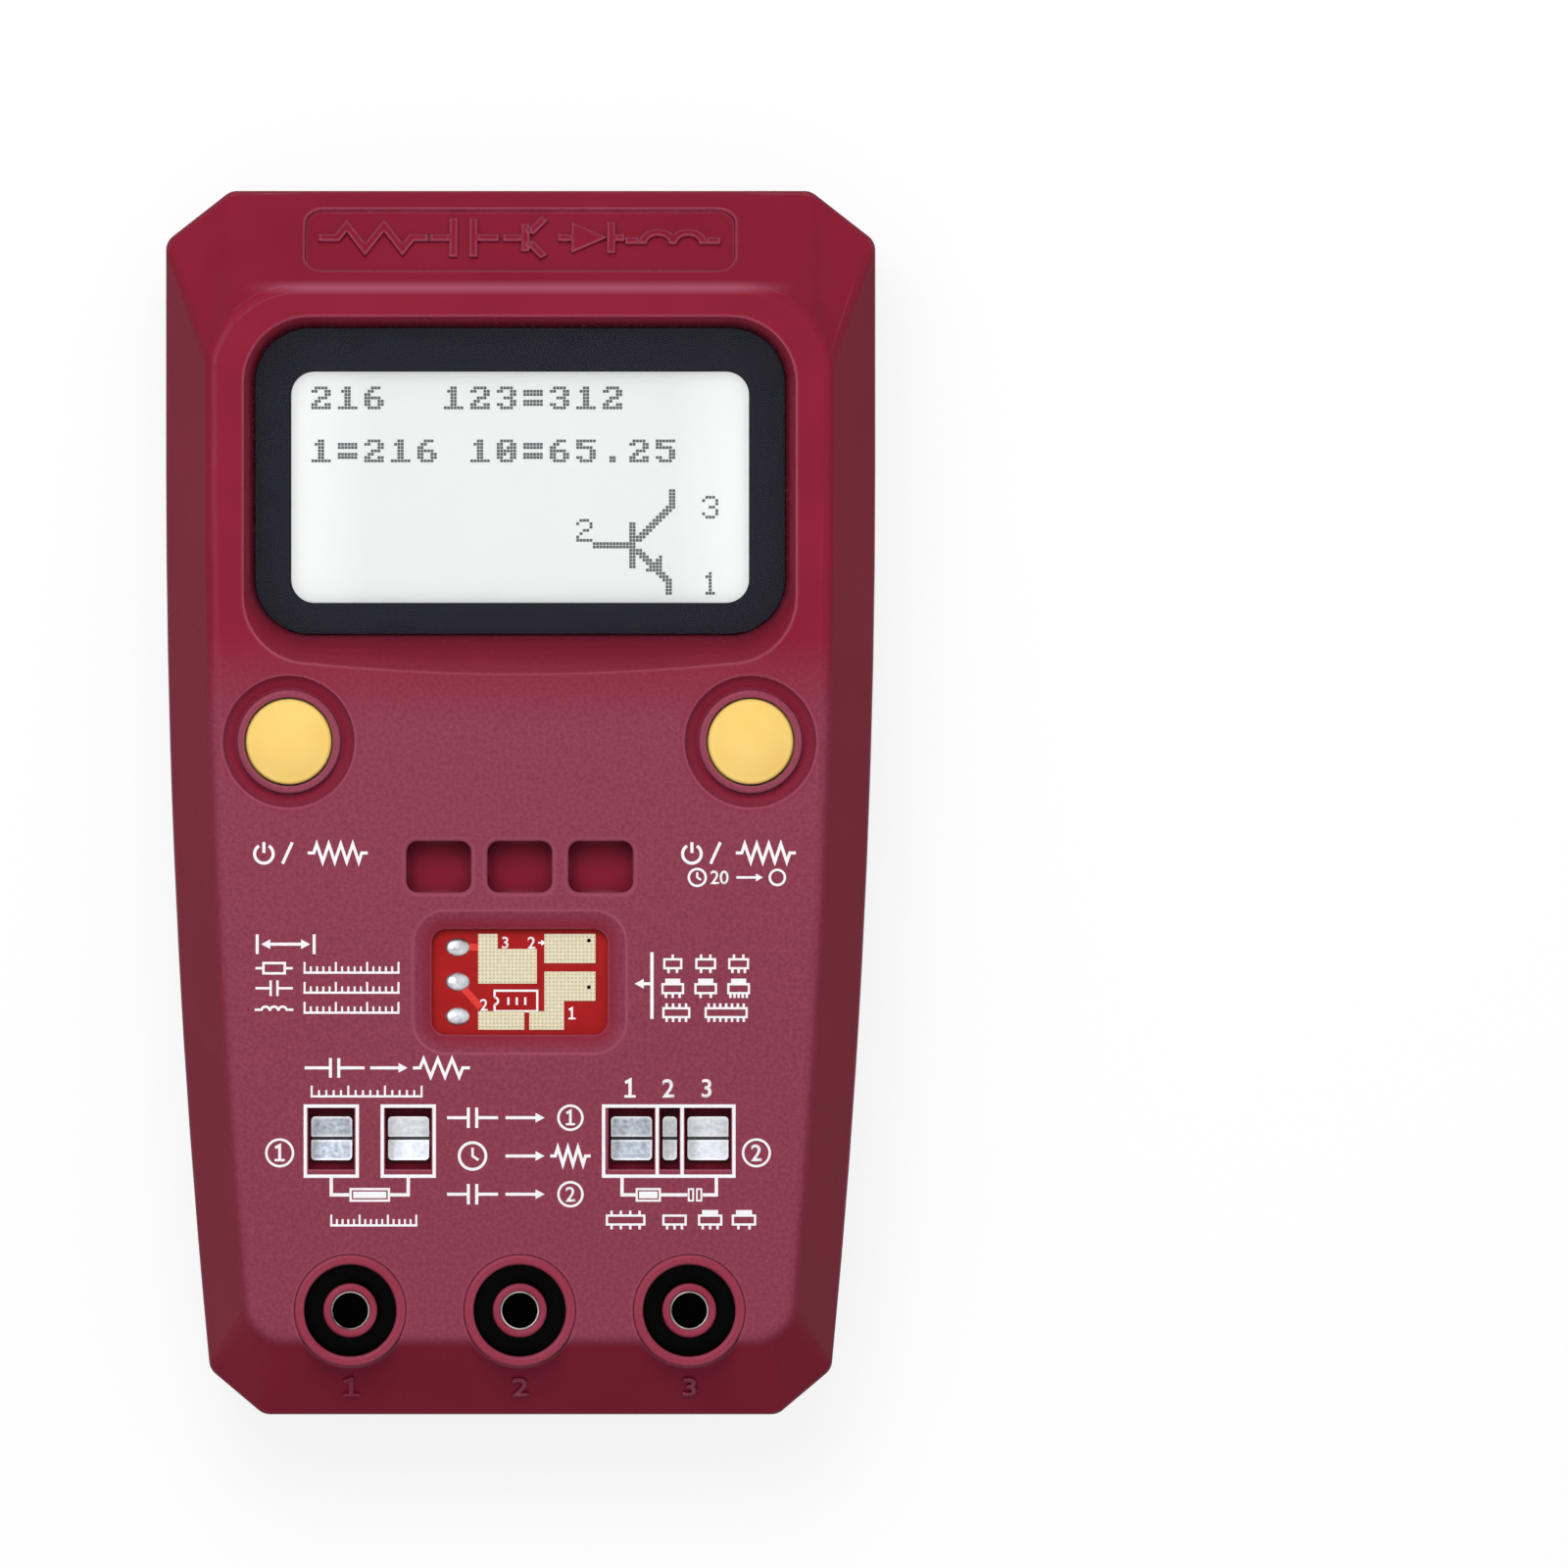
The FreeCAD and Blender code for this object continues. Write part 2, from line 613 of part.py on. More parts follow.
def plate(name, left, bottom, right, top, z, thickness, corner=None):
    """A flat piece with upright edges, rounded where a corner radius is given."""
    body = new_body(name)
    sketch = sketch_on(body, "XY_Plane", z=z)
    draw(sketch, [(left, bottom), (right, bottom), (right, top), (left, top)])
    pad(body, sketch, thickness)
    if corner is not None:
        round_edges(body, corner, upright)
    return body


def turned(name, x, y, profile):
    """A piece turned about an upright axis at x and y. The profile's points are radius and height."""
    body = new_body(name)
    sketch = draw(sketch_on(body, "XZ_Plane", x=x, z=-size(y)), profile)
    feature = body.newObject("PartDesign::Revolution", f"{name}_turn")
    feature.Profile = sketch
    feature.ReferenceAxis = (sketch, ["V_Axis"])
    feature.Angle = 360
    return body


# The case's outline. The sides are straight beside the display and draw in on one long arc towards the jacks.

across, along = Vector(1, 0, 0), Vector(0, 1, 0)
case_half, case_end = half_width.number, half_length.number
taper = case_half - bottom_half_width.number
taper_run = side_straight_y.number + case_end - s.bottom_cut_along.number
taper_radius = (taper ** 2 + taper_run ** 2) / (2 * taper)
taper_centre = Vector(case_half - taper_radius, side_straight_y.number, 0)


def on_taper(radius, angle):
    return taper_centre + Vector(math.cos(angle), math.sin(angle), 0) * radius


def rounding(corner, arriving, leaving, radius):
    """The arc that rounds a corner, as a function of the share of its turn, and the length that it takes off
    each side."""
    turn = arriving.getAngle(leaving)
    reach = radius * math.tan(turn / 2)
    inward = Vector(-arriving.y, arriving.x, 0)
    centre = corner - arriving * reach + inward * radius

    def point(share):
        angle = turn * share
        return centre + (arriving * math.sin(angle) - inward * math.cos(angle)) * radius

    return point, reach


def arcs(point, shares, last=None):
    """Three-point arcs between shares of a rounding."""
    runs = [[point(a), point((a + b) / 2), point(b)] for a, b in zip(shares, shares[1:])]
    if last is not None:
        runs[-1][-1] = last
    return runs


def closed_wire(right_side, z):
    """A wire from the edges of the right side, going up, mirrored to the left and closed at both ends."""
    lift = Vector(0, 0, z)
    right = [[point + lift for point in run] for run in right_side]
    left = [[Vector(-point.x, point.y, point.z) for point in reversed(run)] for run in reversed(right)]
    first, last = right[0][0], right[-1][-1]
    runs = [[left[-1][-1], first], *right, [last, left[0][0]], *left]
    edges = [Part.LineSegment(*run) if len(run) == 2 else Part.Arc(*run) for run in runs]
    return Part.Wire([edge.toShape() for edge in edges])


def side_runs(radius, start_angle, width):
    """The long arc and the straight part of the right side, from its start angle up."""
    start = on_taper(radius, start_angle)
    straight = Vector(width, side_straight_y.number, 0)
    return start, [start, on_taper(radius, start_angle / 2), straight], straight


def outline_wire(inset, z):
    """The case's outline, moved in by the inset."""
    width, end, radius = case_half - inset, case_end - inset, taper_radius - inset
    bottom_cut = Vector(s.bottom_cut_across.number, s.bottom_cut_along.number, 0).normalize()
    top_cut = Vector(-s.top_cut_across.number, s.top_cut_along.number, 0).normalize()
    on_bottom_cut = Vector(case_half - taper, s.bottom_cut_along.number - case_end, 0)
    on_bottom_cut += Vector(-bottom_cut.y, bottom_cut.x, 0) * inset
    on_top_cut = Vector(case_half, case_end - s.top_cut_along.number, 0)
    on_top_cut += Vector(-top_cut.y, top_cut.x, 0) * inset
    offset = on_bottom_cut - taper_centre
    forward = offset.dot(bottom_cut)
    run = math.sqrt(forward ** 2 - offset.dot(offset) + radius ** 2) - forward
    low_side = on_bottom_cut + bottom_cut * run
    low_end = on_bottom_cut - bottom_cut * ((on_bottom_cut.y + end) / bottom_cut.y)
    high_side = on_top_cut + top_cut * ((width - on_top_cut.x) / top_cut.x)
    high_end = on_top_cut + top_cut * ((end - on_top_cut.y) / top_cut.y)
    low_angle = math.asin((low_side.y - taper_centre.y) / radius)
    upward = Vector(-math.sin(low_angle), math.cos(low_angle), 0)
    turn = s.outline_round.number
    end_low, _ = rounding(low_end, across, bottom_cut, turn)
    side_low, reach = rounding(low_side, bottom_cut, upward, turn)
    side_high, _ = rounding(high_side, along, top_cut, turn)
    end_high, _ = rounding(high_end, top_cut, -across, turn)
    start, long_arc, straight = side_runs(radius, low_angle + reach / radius, width)
    shoulder = Vector(width - s.bevel_side.number - s.face_round_top.number, end, 0)
    runs = arcs(end_low, (0, 1)) + [[end_low(1), side_low(0)]] + arcs(side_low, (0, 1), start)
    runs += [long_arc, [straight, side_high(0)]] + arcs(side_high, (0, 1)) + [[side_high(1), end_high(0)]]
    runs += arcs(end_high, (0, 1)) + [[end_high(1), shoulder]]
    return closed_wire(runs, z)


def face_wire(inset, z):
    """The edge of the face, moved in by the inset. Its corner arcs are split so that the bevels' creases
    run from the outline's corners to the arcs' side ends."""
    side = s.bevel_side.number + inset
    width, radius = case_half - side, taper_radius - side
    bottom = face_bottom.number + inset
    low_angle = math.asin((bottom - taper_centre.y) / radius)
    upward = Vector(-math.sin(low_angle), math.cos(low_angle), 0)
    low, reach = rounding(on_taper(radius, low_angle), across, upward, s.face_round_bottom.number - inset)
    top_corner = Vector(width, face_top.number - inset, 0)
    high, _ = rounding(top_corner, along, -across, s.face_round_top.number - inset)
    start, long_arc, straight = side_runs(radius, low_angle + reach / radius, width)
    runs = arcs(low, BOTTOM_CREASES, start) + [long_arc, [straight, high(0)]]
    runs += arcs(high, TOP_CREASES)
    return closed_wire(runs, z)


def edges_at(shape, z):
    """The edges that lie flat at a height."""
    return [edge for edge in shape.Edges
            if abs(edge.BoundBox.ZMin - z) < NEAR and abs(edge.BoundBox.ZMax - z) < NEAR]


def rounded_wire(left, bottom, right, top, radius, z, bow=0):
    """A rectangle with round corners, and a lower edge that bows down where a bow is given."""
    corners = [(right, bottom, across, along), (right, top, along, -across),
               (left, top, -across, -along), (left, bottom, -along, across)]
    turns = [arcs(rounding(Vector(x, y, z), a, b, radius)[0], (0, 1))[0] for x, y, a, b in corners]
    edges = []
    for turn, following in zip(turns, turns[1:] + turns[:1]):
        edges.append(Part.Arc(*turn).toShape())
        edges.append(Part.LineSegment(turn[-1], following[0]).toShape())
    if bow:
        lowest = Vector((left + right) / 2, bottom - bow, z)
        edges[-1] = Part.Arc(turns[-1][-1], lowest, turns[0][0]).toShape()
    return Part.Wire(edges)


def well(name, x, y, width, height, corner, depth, step, flare, flare_bottom=None, bow=0, bends=1,
         rim_turn=size(90)):
    """A pocket in the face. Above its upright step the wall leans out to the face, in one straight slope or,
    with more bends, as a rounded rim that turns by an angle."""
    x, y, width, height, corner = float(x), float(y), float(width) / 2, float(height) / 2, float(corner)
    flare_bottom = float(flare if flare_bottom is None else flare_bottom)
    flare, bow = float(flare), float(bow)
    floor, rise, sweep = float(face_z - depth), float(depth - step), math.radians(rim_turn.number)
    wires = [rounded_wire(x - width, y - height, x + width, y + height, corner, floor)]
    for bend in range(bends + 1):
        turn = sweep * bend / bends
        out, up = (1 - math.cos(turn)) / (1 - math.cos(sweep)), math.sin(turn) / math.sin(sweep)
        side, low = width + flare * out, height + flare_bottom * out
        wires.append(rounded_wire(x - side, y - low, x + side, y + height + flare * out, corner + flare * out,
                                  face_z.number - rise * (1 - up), bow * out))
    return form(name, Part.makeLoft(wires, True, True))


# Front cover. Its wall keeps its thickness round the edges of the bevels.

bevel_angle = math.atan2(s.bevel_rise.number, s.bevel_side.number)
face_inner_inset = s.wall.number * math.tan(bevel_angle / 2)
shoulder_inner_drop = s.wall.number * math.tan(math.pi / 4 - bevel_angle / 2)
cover_outer = Part.makeLoft(
    [outline_wire(0, parting_z.number), outline_wire(0, shoulder_z.number), face_wire(0, face_z.number)],
    True, True)
cover_outer = cover_outer.makeFillet(s.face_edge_round.number, edges_at(cover_outer, face_z.number))
cover_outer = cover_outer.makeFillet(s.shoulder_round.number, edges_at(cover_outer, shoulder_z.number))
cover_inner = Part.makeLoft(
    [outline_wire(s.wall.number, parting_z.number - s.wall.number),
     outline_wire(s.wall.number, shoulder_z.number - shoulder_inner_drop),
     face_wire(face_inner_inset, ceiling_z.number)], True, True)

tray_pitch = s.tray_width + s.tray_web
tray_block_z = face_z - s.tray_depth - s.tray_wall
port_well_z = ceiling_z - s.port_well
cradle_z = mask_z - s.cradle_reach
wide_step = (s.port_wide + s.port_narrow) / 2 + s.port_web
pair_step = (s.port_wide + s.port_pair_web) / 2
left_ports = [("discharge_contact_left", -s.port_spread - pair_step, s.port_wide),
              ("discharge_contact_right", pair_step - s.port_spread, s.port_wide)]
right_ports = [("test_contact_1", s.port_spread - wide_step, s.port_wide),
               ("test_contact_2", s.port_spread, s.port_narrow),
               ("test_contact_3", s.port_spread + wide_step, s.port_wide)]
ports = left_ports + right_ports
jacks = [(f"jack_contact_{number}", s.jack_pitch * (number - 2)) for number in (1, 2, 3)]
buttons = [("left", -button_x), ("right", button_x)]

inside_ribs = [
    span("screen_bed", -recess_half, recess_bottom, ledge_z, recess_half, lens_top + s.rim_slope, ceiling_z),
    cut("display_cradle",
        span("cradle_outside", -glass_half - s.fit_gap - s.cradle_wall, cradle_bottom_y, cradle_z,
             glass_half + s.fit_gap + s.cradle_wall, cradle_top_y, ceiling_z),
        [span("cradle_inside", -glass_half - s.fit_gap, glass_bottom_y - s.fit_gap, cradle_z - s.wall,
              glass_half + s.fit_gap, glass_top_y + s.fit_gap, ceiling_z)]),
    block("tray_block", size(0), tray_y, tray_block_z, 3 * tray_pitch + s.tray_wall,
          s.tray_height + 2 * s.tray_wall, ceiling_z - tray_block_z),
]
for name, x, width in ports:
    inside_ribs.append(block(f"{name}_well", x, port_y, port_well_z, width + 2 * s.port_well_wall,
                             s.port_height + 2 * s.port_well_wall, s.port_well))
for number, (x, y) in enumerate(both_sides(case_screw_places), start=1):
    inside_ribs.append(rod(f"front_boss_{number}", x, y, parting_z, s.case_boss_radius, face_z - parting_z))
for number, (x, y) in enumerate(both_sides(board_screw_places), start=1):
    inside_ribs.append(rod(f"board_boss_{number}", x, y, board_z, s.board_boss_radius, face_z - board_z))

flange_z = board_z + s.barrel_flange_thickness
socket_seat_z = flange_z + s.jack_flange_thickness
socket_hole_radius = s.jack_rim_radius + s.socket_gap
for name, x in jacks:
    inside_ribs.append(rod(f"{name}_seat", x, jack_y, socket_seat_z, socket_hole_radius + s.jack_seat_wall,
                           face_z - socket_seat_z))

front_shell = cut("front_shell", form("front_outside", cover_outer),
                  [cut("front_hollow", form("front_inside", cover_inner), inside_ribs)])

front_cuts = [
    well("screen_recess", 0, lens_top - s.lens_height / 2, s.lens_width + 2 * s.fit_gap,
         s.lens_height + 2 * s.fit_gap, s.lens_round + s.fit_gap, face_z - mask_z,
         s.mask_thickness + s.lens_thickness + s.rim_step, s.rim_slope - s.fit_gap,
         s.rim_slope_bottom - s.fit_gap, s.rim_bow, SLOPE_BENDS, s.rim_turn),
    span("screen_opening", s.ledge_width - lens_half, lens_bottom + s.ledge_width, ledge_z - s.wall,
         lens_half - s.ledge_width, lens_top - s.ledge_width, face_z),
    well("pad_window", 0, pad_window_y, s.pad_window_width, s.pad_window_height, s.pad_window_round,
         s.wall, s.pad_window_step, s.pad_window_flare),
]
for column in (-1, 0, 1):
    front_cuts.append(well(f"tray_{column + 2}", column * tray_pitch, tray_y, s.tray_width - 2 * s.tray_flare,
                           s.tray_height - 2 * s.tray_flare, s.tray_round, s.tray_depth,
                           s.tray_depth - s.tray_flare, s.tray_flare, bends=RIM_BENDS))
for name, x, width in ports:
    front_cuts.append(block(f"{name}_window", x, port_y, port_well_z, width, s.port_height,
                            face_z - port_well_z))
for side, x in buttons:
    collar_radius = s.cap_radius + s.cap_gap + s.collar_wall
    dish_z = face_z - s.dish_depth
    front_cuts.append(rod(f"button_hole_{side}", x, button_y, ceiling_z, s.cap_radius + s.cap_gap, s.wall))
    front_cuts.append(turned(f"button_dish_{side}", x, button_y, [
        (collar_radius, dish_z, s.dish_bowl), (s.dish_radius, face_z),
        (collar_radius - s.collar_round, face_z, s.collar_round, LEFT),
        (collar_radius, face_z - s.collar_round)]))
for name, x in jacks:
    front_cuts.append(rod(f"{name}_hole", x, jack_y, socket_seat_z, socket_hole_radius,
                          face_z - socket_seat_z))
for number, (x, y) in enumerate(both_sides(case_screw_places), start=1):
    front_cuts.append(rod(f"front_pilot_{number}", x, y, parting_z, s.case_screw_radius + s.screw_gap,
                          s.case_screw_grip + s.free_gap))
for number, (x, y) in enumerate(both_sides(board_screw_places), start=1):
    front_cuts.append(rod(f"board_pilot_{number}", x, y, board_z, s.board_screw_radius + s.screw_gap,
                          s.board_screw_length - s.board_thickness + s.free_gap))

# The bare place on the top slope is a shallow pocket, square to the slope.
slope_angle = math.degrees(math.atan2(s.bevel_rise.number, s.bevel_top.number))
plate_corner = Vector(-s.plate_width.number / 2, -s.plate_height.number / 2, -s.plate_depth.number)
name_place = Part.makeBox(s.plate_width.number, s.plate_height.number, 2 * s.plate_depth.number, plate_corner)
name_place = name_place.makeFillet(s.plate_round.number, [edge for edge in name_place.Edges if upright(edge)])
name_place_form = form("name_place", name_place)
name_place_form.Placement = FreeCAD.Placement(
    Vector(0, float(half_length - s.bevel_top / 2), float(face_z - s.bevel_rise / 2)),
    FreeCAD.Rotation(across, -slope_angle))
front_cuts.append(name_place_form)

node(cut("front_cover_solid", front_shell, front_cuts), "front_cover")

# Rear cover, with the battery box standing in it.

rear_outer = Part.makeLoft(
    [outline_wire(s.back_draft.number, 0), outline_wire(0, parting_z.number)], True, True)
rear_outer = rear_outer.makeFillet(s.back_edge_round.number, edges_at(rear_outer, 0))
rear_inner = Part.makeLoft(
    [outline_wire(s.back_draft.number + s.wall.number, s.wall.number),
     outline_wire(s.wall.number, parting_z.number)], True, True)
lip_outset = s.wall.number + s.fit_gap.number
lip_top = (parting_z + s.lip_height).number
lip_foot = (parting_z - s.lip_height).number
lip_inset = lip_outset + s.lip_wall.number


def ring_core(inset, low, high):
    return Part.makeLoft([outline_wire(inset, low), outline_wire(inset, high)], True, True)


lip_outer = ring_core(lip_outset, lip_foot, lip_top).fuse(
    ring_core(s.wall.number / 2, lip_foot, parting_z.number))
lip_inner = ring_core(lip_inset, lip_foot, lip_top)

door_bottom_y = battery_bottom_y - s.battery_play
door_top_z = s.door_sunk + s.door_thickness + s.fit_gap
lip_reach = half_length - s.wall - s.fit_gap - s.lip_wall
rear_ribs = [
    span("battery_side_walls", -rail_half, box_bottom_y, 0, rail_half, box_top_y, parting_z),
    span("door_rails", -rail_half, box_bottom_y, 0, rail_half, half_length, door_top_z + s.rail_height),
]
for number, (x, y) in enumerate(both_sides(case_screw_places), start=1):
    rear_ribs.append(rod(f"rear_boss_{number}", x, y, 0, s.case_boss_radius, parting_z))
rear_shell = cut("rear_shell", form("rear_outside", rear_outer),
                 [cut("rear_hollow", form("rear_inside", rear_inner), rear_ribs)])
lip_notches = [rod(f"lip_notch_{number}", x, y, 0, s.case_boss_radius + s.free_gap, face_z)
               for number, (x, y) in enumerate(both_sides(case_screw_places), start=1)]
lip_ring = cut("lip_ring", form("lip_outside", lip_outer), [form("lip_inside", lip_inner), *lip_notches])
box_top = span("battery_box_top", -box_half - s.box_wall, box_bottom_y, s.wall, box_half + s.box_wall,
               box_top_y, roof_z + s.box_roof)

battery_right = box_half - s.battery_play - s.lead_room - s.terminal_height
lead_x = battery_right + s.terminal_height + s.lead_room / 2
lead_y = board_top_y - s.lead_inset
lead_z = battery_z + s.battery_height / 2
rear_cuts = [
    span("battery_space", -box_half, battery_bottom_y - s.battery_play, -s.wall, box_half,
         battery_top_y + s.battery_play, roof_z),
    span("door_opening", -door_half, door_bottom_y, -s.wall, door_half, half_length, door_top_z),
    span("tongue_grooves", -door_half - s.door_tongue - s.fit_gap, door_bottom_y, s.door_sunk + s.door_lip,
         door_half + s.door_tongue + s.fit_gap, half_length, door_top_z),
    span("rail_relief", s.box_wall - box_half, box_top_y, door_top_z, box_half - s.box_wall, lip_reach,
         door_top_z + s.rail_height),
    span("lead_slot", lead_x - s.lead_spread, box_bottom_y, lead_z - s.lead_slot_rise,
         box_half, battery_bottom_y, lead_z + s.lead_slot_rise),
]
for number, (x, y) in enumerate(both_sides(case_screw_places), start=1):
    rear_cuts.append(rod(f"rear_screw_hole_{number}", x, y, 0, s.case_screw_radius + s.free_gap, parting_z))
    rear_cuts.append(rod(f"rear_head_hole_{number}", x, y, 0, s.case_screw_head + s.fit_gap,
                         s.case_screw_recess + s.case_screw_head_height))
node(cut("rear_cover_solid", fuse("rear_solid", [rear_shell, lip_ring, box_top]), rear_cuts), "rear_cover")

# Battery door: a plate with a tongue along each side and grip grooves across its outside.

door = new_body("battery_door_body")
door_end_y = half_length - s.back_draft
door_start_y = door_bottom_y + s.door_end_gap
tongue_half = door_half + s.door_tongue - s.fit_gap
door_side = door_half - s.fit_gap
tongue_low = s.door_sunk + s.door_lip + s.fit_gap
door_top = s.door_sunk + s.door_thickness
door_profile = [(-door_side, s.door_sunk), (door_side, s.door_sunk), (door_side, tongue_low),
                (tongue_half, tongue_low), (tongue_half, door_top), (-tongue_half, door_top),
                (-tongue_half, tongue_low), (-door_side, tongue_low)]
pad(door, draw(sketch_on(door, "XZ_Plane", z=-door_end_y), door_profile), door_end_y - door_start_y)
round_edges(door, larger(s.back_edge_round - s.wall, s.door_lip),
            lambda edge: abs(edge.BoundBox.YMin - door_end_y.number) < NEAR
            and abs(edge.BoundBox.ZMax - s.door_sunk.number) < NEAR)
grip_sketch = sketch_on(door, "XY_Plane", z=s.door_sunk)
grip_y = door_end_y - s.grip_inset
draw(grip_sketch, [(-s.grip_width / 2, grip_y - s.grip_groove), (s.grip_width / 2, grip_y - s.grip_groove),
                   (s.grip_width / 2, grip_y), (-s.grip_width / 2, grip_y)])
grip = pocket(door, grip_sketch, s.grip_depth, upwards=True)
grips = door.newObject("PartDesign::LinearPattern", "grip_grooves")
grips.Originals = [grip]
grips.Direction = (grip_sketch, ["V_Axis"])
grips.Reversed = True
bind(grips, Length=s.grip_pitch * (s.grip_count - 1), Occurrences=s.grip_count)
door.Tip = grips
node(door, "battery_door")

# Screen: lens, printed mask, display glass on its backlight, and the display's pins.

node(plate("window_lens_body", -lens_half, lens_bottom, lens_half, lens_top, lens_z, s.lens_thickness,
           s.lens_round), "window_lens")
mask = plate("window_mask_body", -lens_half, lens_bottom, lens_half, lens_top, mask_z, s.mask_thickness,
             s.lens_round)
mask_window = sketch_on(mask, "XY_Plane", z=mask_z)
view_half, view_rise = s.view_width / 2, s.view_height / 2
draw(mask_window, [(-view_half, view_y - view_rise), (view_half, view_y - view_rise),
                   (view_half, view_y + view_rise), (-view_half, view_y + view_rise)])
pocket(mask, mask_window, s.mask_thickness, upwards=True)
round_edges(mask, s.view_round, lambda edge: upright(edge)
            and abs(abs(edge.BoundBox.XMin) - view_half.number) < NEAR)
node(mask, "window_mask")

glass = plate("lcd_glass_body", -glass_half, glass_bottom_y, glass_half, glass_top_y, glass_z,
              s.glass_thickness / 2)
upper_glass = sketch_on(glass, "XY_Plane", z=glass_z + s.glass_thickness / 2)
draw(upper_glass, [(-glass_half, glass_bottom_y + s.glass_step), (glass_half, glass_bottom_y + s.glass_step),
                   (glass_half, glass_top_y), (-glass_half, glass_top_y)])
pad(glass, upper_glass, s.glass_thickness / 2)
node(glass, "lcd_glass")
node(plate("lcd_backlight_body", -glass_half, glass_bottom_y, glass_half, glass_top_y, backlight_z,
           s.backlight_thickness, s.backlight_round), "lcd_backlight")
pin_low_z = board_under_z - s.pin_tail
lcd_pins = [block(f"lcd_pin_{number + 1}", s.lcd_pin_pitch * (number - (s.lcd_pin_count - 1) / 2), lcd_pin_y,
                  pin_low_z, s.lcd_pin_width, s.lcd_pin_width, backlight_z - pin_low_z)
            for number in range(int(s.lcd_pin_count.number))]
node(group("lcd_pin_row", lcd_pins), "lcd_pins")

# Push buttons, each on the plunger of a key switch.

cap_z = ceiling_z - s.cap_drop - s.cap_flange_thickness
cap_rim_z = face_z + s.cap_rim_rise
cap_top_z = cap_rim_z + s.cap_dome
dome_half = s.cap_radius - s.cap_edge_round
dome_radius = (dome_half * dome_half + s.cap_dome * s.cap_dome) / (2 * s.cap_dome)
stem_z = board_z + s.switch_height - s.stem_sunk
switch_half = s.switch_width / 2
for side, x in buttons:
    cap = turned(f"button_cap_{side}_body", x, button_y, [
        (size(0), cap_z), (s.cap_post_radius, cap_z), (s.cap_post_radius, cap_rim_z - s.cap_skin),
        (s.cap_radius - s.cap_skin / 2, cap_rim_z - s.cap_skin), (s.cap_radius - s.cap_skin / 2, cap_z),
        (s.cap_radius + s.cap_flange, cap_z), (s.cap_radius + s.cap_flange, cap_z + s.cap_flange_thickness),
        (s.cap_radius, cap_z + s.cap_flange_thickness),
        (s.cap_radius, cap_rim_z - s.cap_edge_round, s.cap_edge_round), (dome_half, cap_rim_z, dome_radius),
        (size(0), cap_top_z)])
    node(cap, f"button_cap_{side}")
    switch = plate(f"switch_body_{side}_body", x - switch_half, button_y - switch_half, x + switch_half,
                   button_y + switch_half, board_z, s.switch_height, s.switch_bevel)
    hole = draw_circle(sketch_on(switch, "XY_Plane", z=board_z + s.switch_height), x, button_y,
                       s.stem_radius + s.stem_gap)
    pocket(switch, hole, s.stem_sunk + s.stem_room)
    node(switch, f"switch_body_{side}")
    node(rod(f"switch_stem_{side}_rod", x, button_y, stem_z, s.stem_radius, cap_z - stem_z),
         f"switch_stem_{side}")

# Main board, wide under the display and narrow between the lower case screws.

board = new_body("main_board_body")
board_right = [(tail_half, board_end_y), (tail_half, tail_y), (board_half, tail_y), (board_half, board_top_y)]
board_outline = board_right + [(-x, y) for x, y in reversed(board_right)]
pad(board, draw(sketch_on(board, "XY_Plane", z=board_under_z), board_outline), s.board_thickness)
board_holes = sketch_on(board, "XY_Plane", z=board_z)
for name, x in jacks:
    draw_circle(board_holes, x, jack_y, s.jack_bore_radius + s.barrel_wall + s.barrel_gap)
for x, y in both_sides(board_screw_places):
    draw_circle(board_holes, x, y, s.board_screw_radius + s.screw_gap)
pocket(board, board_holes, s.board_thickness)
pin_slots = sketch_on(board, "XY_Plane", z=board_z)
slot_half = s.lcd_pin_pitch * s.lcd_pin_count / 2
slot_rise = s.lcd_pin_width / 2 + s.screw_gap
draw(pin_slots, [(-slot_half, lcd_pin_y - slot_rise), (slot_half, lcd_pin_y - slot_rise),
                 (slot_half, lcd_pin_y + slot_rise), (-slot_half, lcd_pin_y + slot_rise)])
pocket(board, pin_slots, s.board_thickness)
node(board, "main_board")

# Small board behind its window, on three soldered pins, with bare pads for surface-mount parts.

small_half = s.pad_window_width / 2 + s.small_board_margin
small_rise = s.pad_window_height / 2 + s.small_board_margin
small_z = ceiling_z - s.small_board_thickness
pin_x = s.solder_pin_inset - s.pad_window_width / 2
pin_rows = [pad_window_y + s.solder_pin_pitch * row for row in (1, 0, -1)]
small_board = plate("smd_board_body", -small_half, pad_window_y - small_rise, small_half,
                    pad_window_y + small_rise, small_z, s.small_board_thickness, s.small_board_round)
small_holes = sketch_on(small_board, "XY_Plane", z=ceiling_z)
for y in pin_rows:
    draw_circle(small_holes, pin_x, y, s.solder_pin_radius + s.screw_gap)
pocket(small_board, small_holes, s.small_board_thickness)
node(small_board, "smd_board")


def solder_pin(row, y):
    """A pin between the two boards, with a flat drop of solder on its end."""
    drop = doc.addObject("Part::Ellipsoid", f"smd_solder_{row}")
    bind(drop, Radius1=s.solder_height, Radius2=s.solder_length / 2, Radius3=s.solder_width / 2, Angle1=0)
    pin = rod(f"smd_pin_{row}", pin_x, y, board_z, s.solder_pin_radius, ceiling_z - board_z)
    return fuse(f"smd_soldered_pin_{row}", [pin, place(drop, pin_x, y, ceiling_z)])


node(group("smd_pin_row", [solder_pin(row, y) for row, y in enumerate(pin_rows, start=1)]), "smd_pins")


def pad_piece(name, left, bottom, right, top):
    return span(name, left, pad_window_y + bottom, ceiling_z, right, pad_window_y + top,
                ceiling_z + s.pad_thickness)


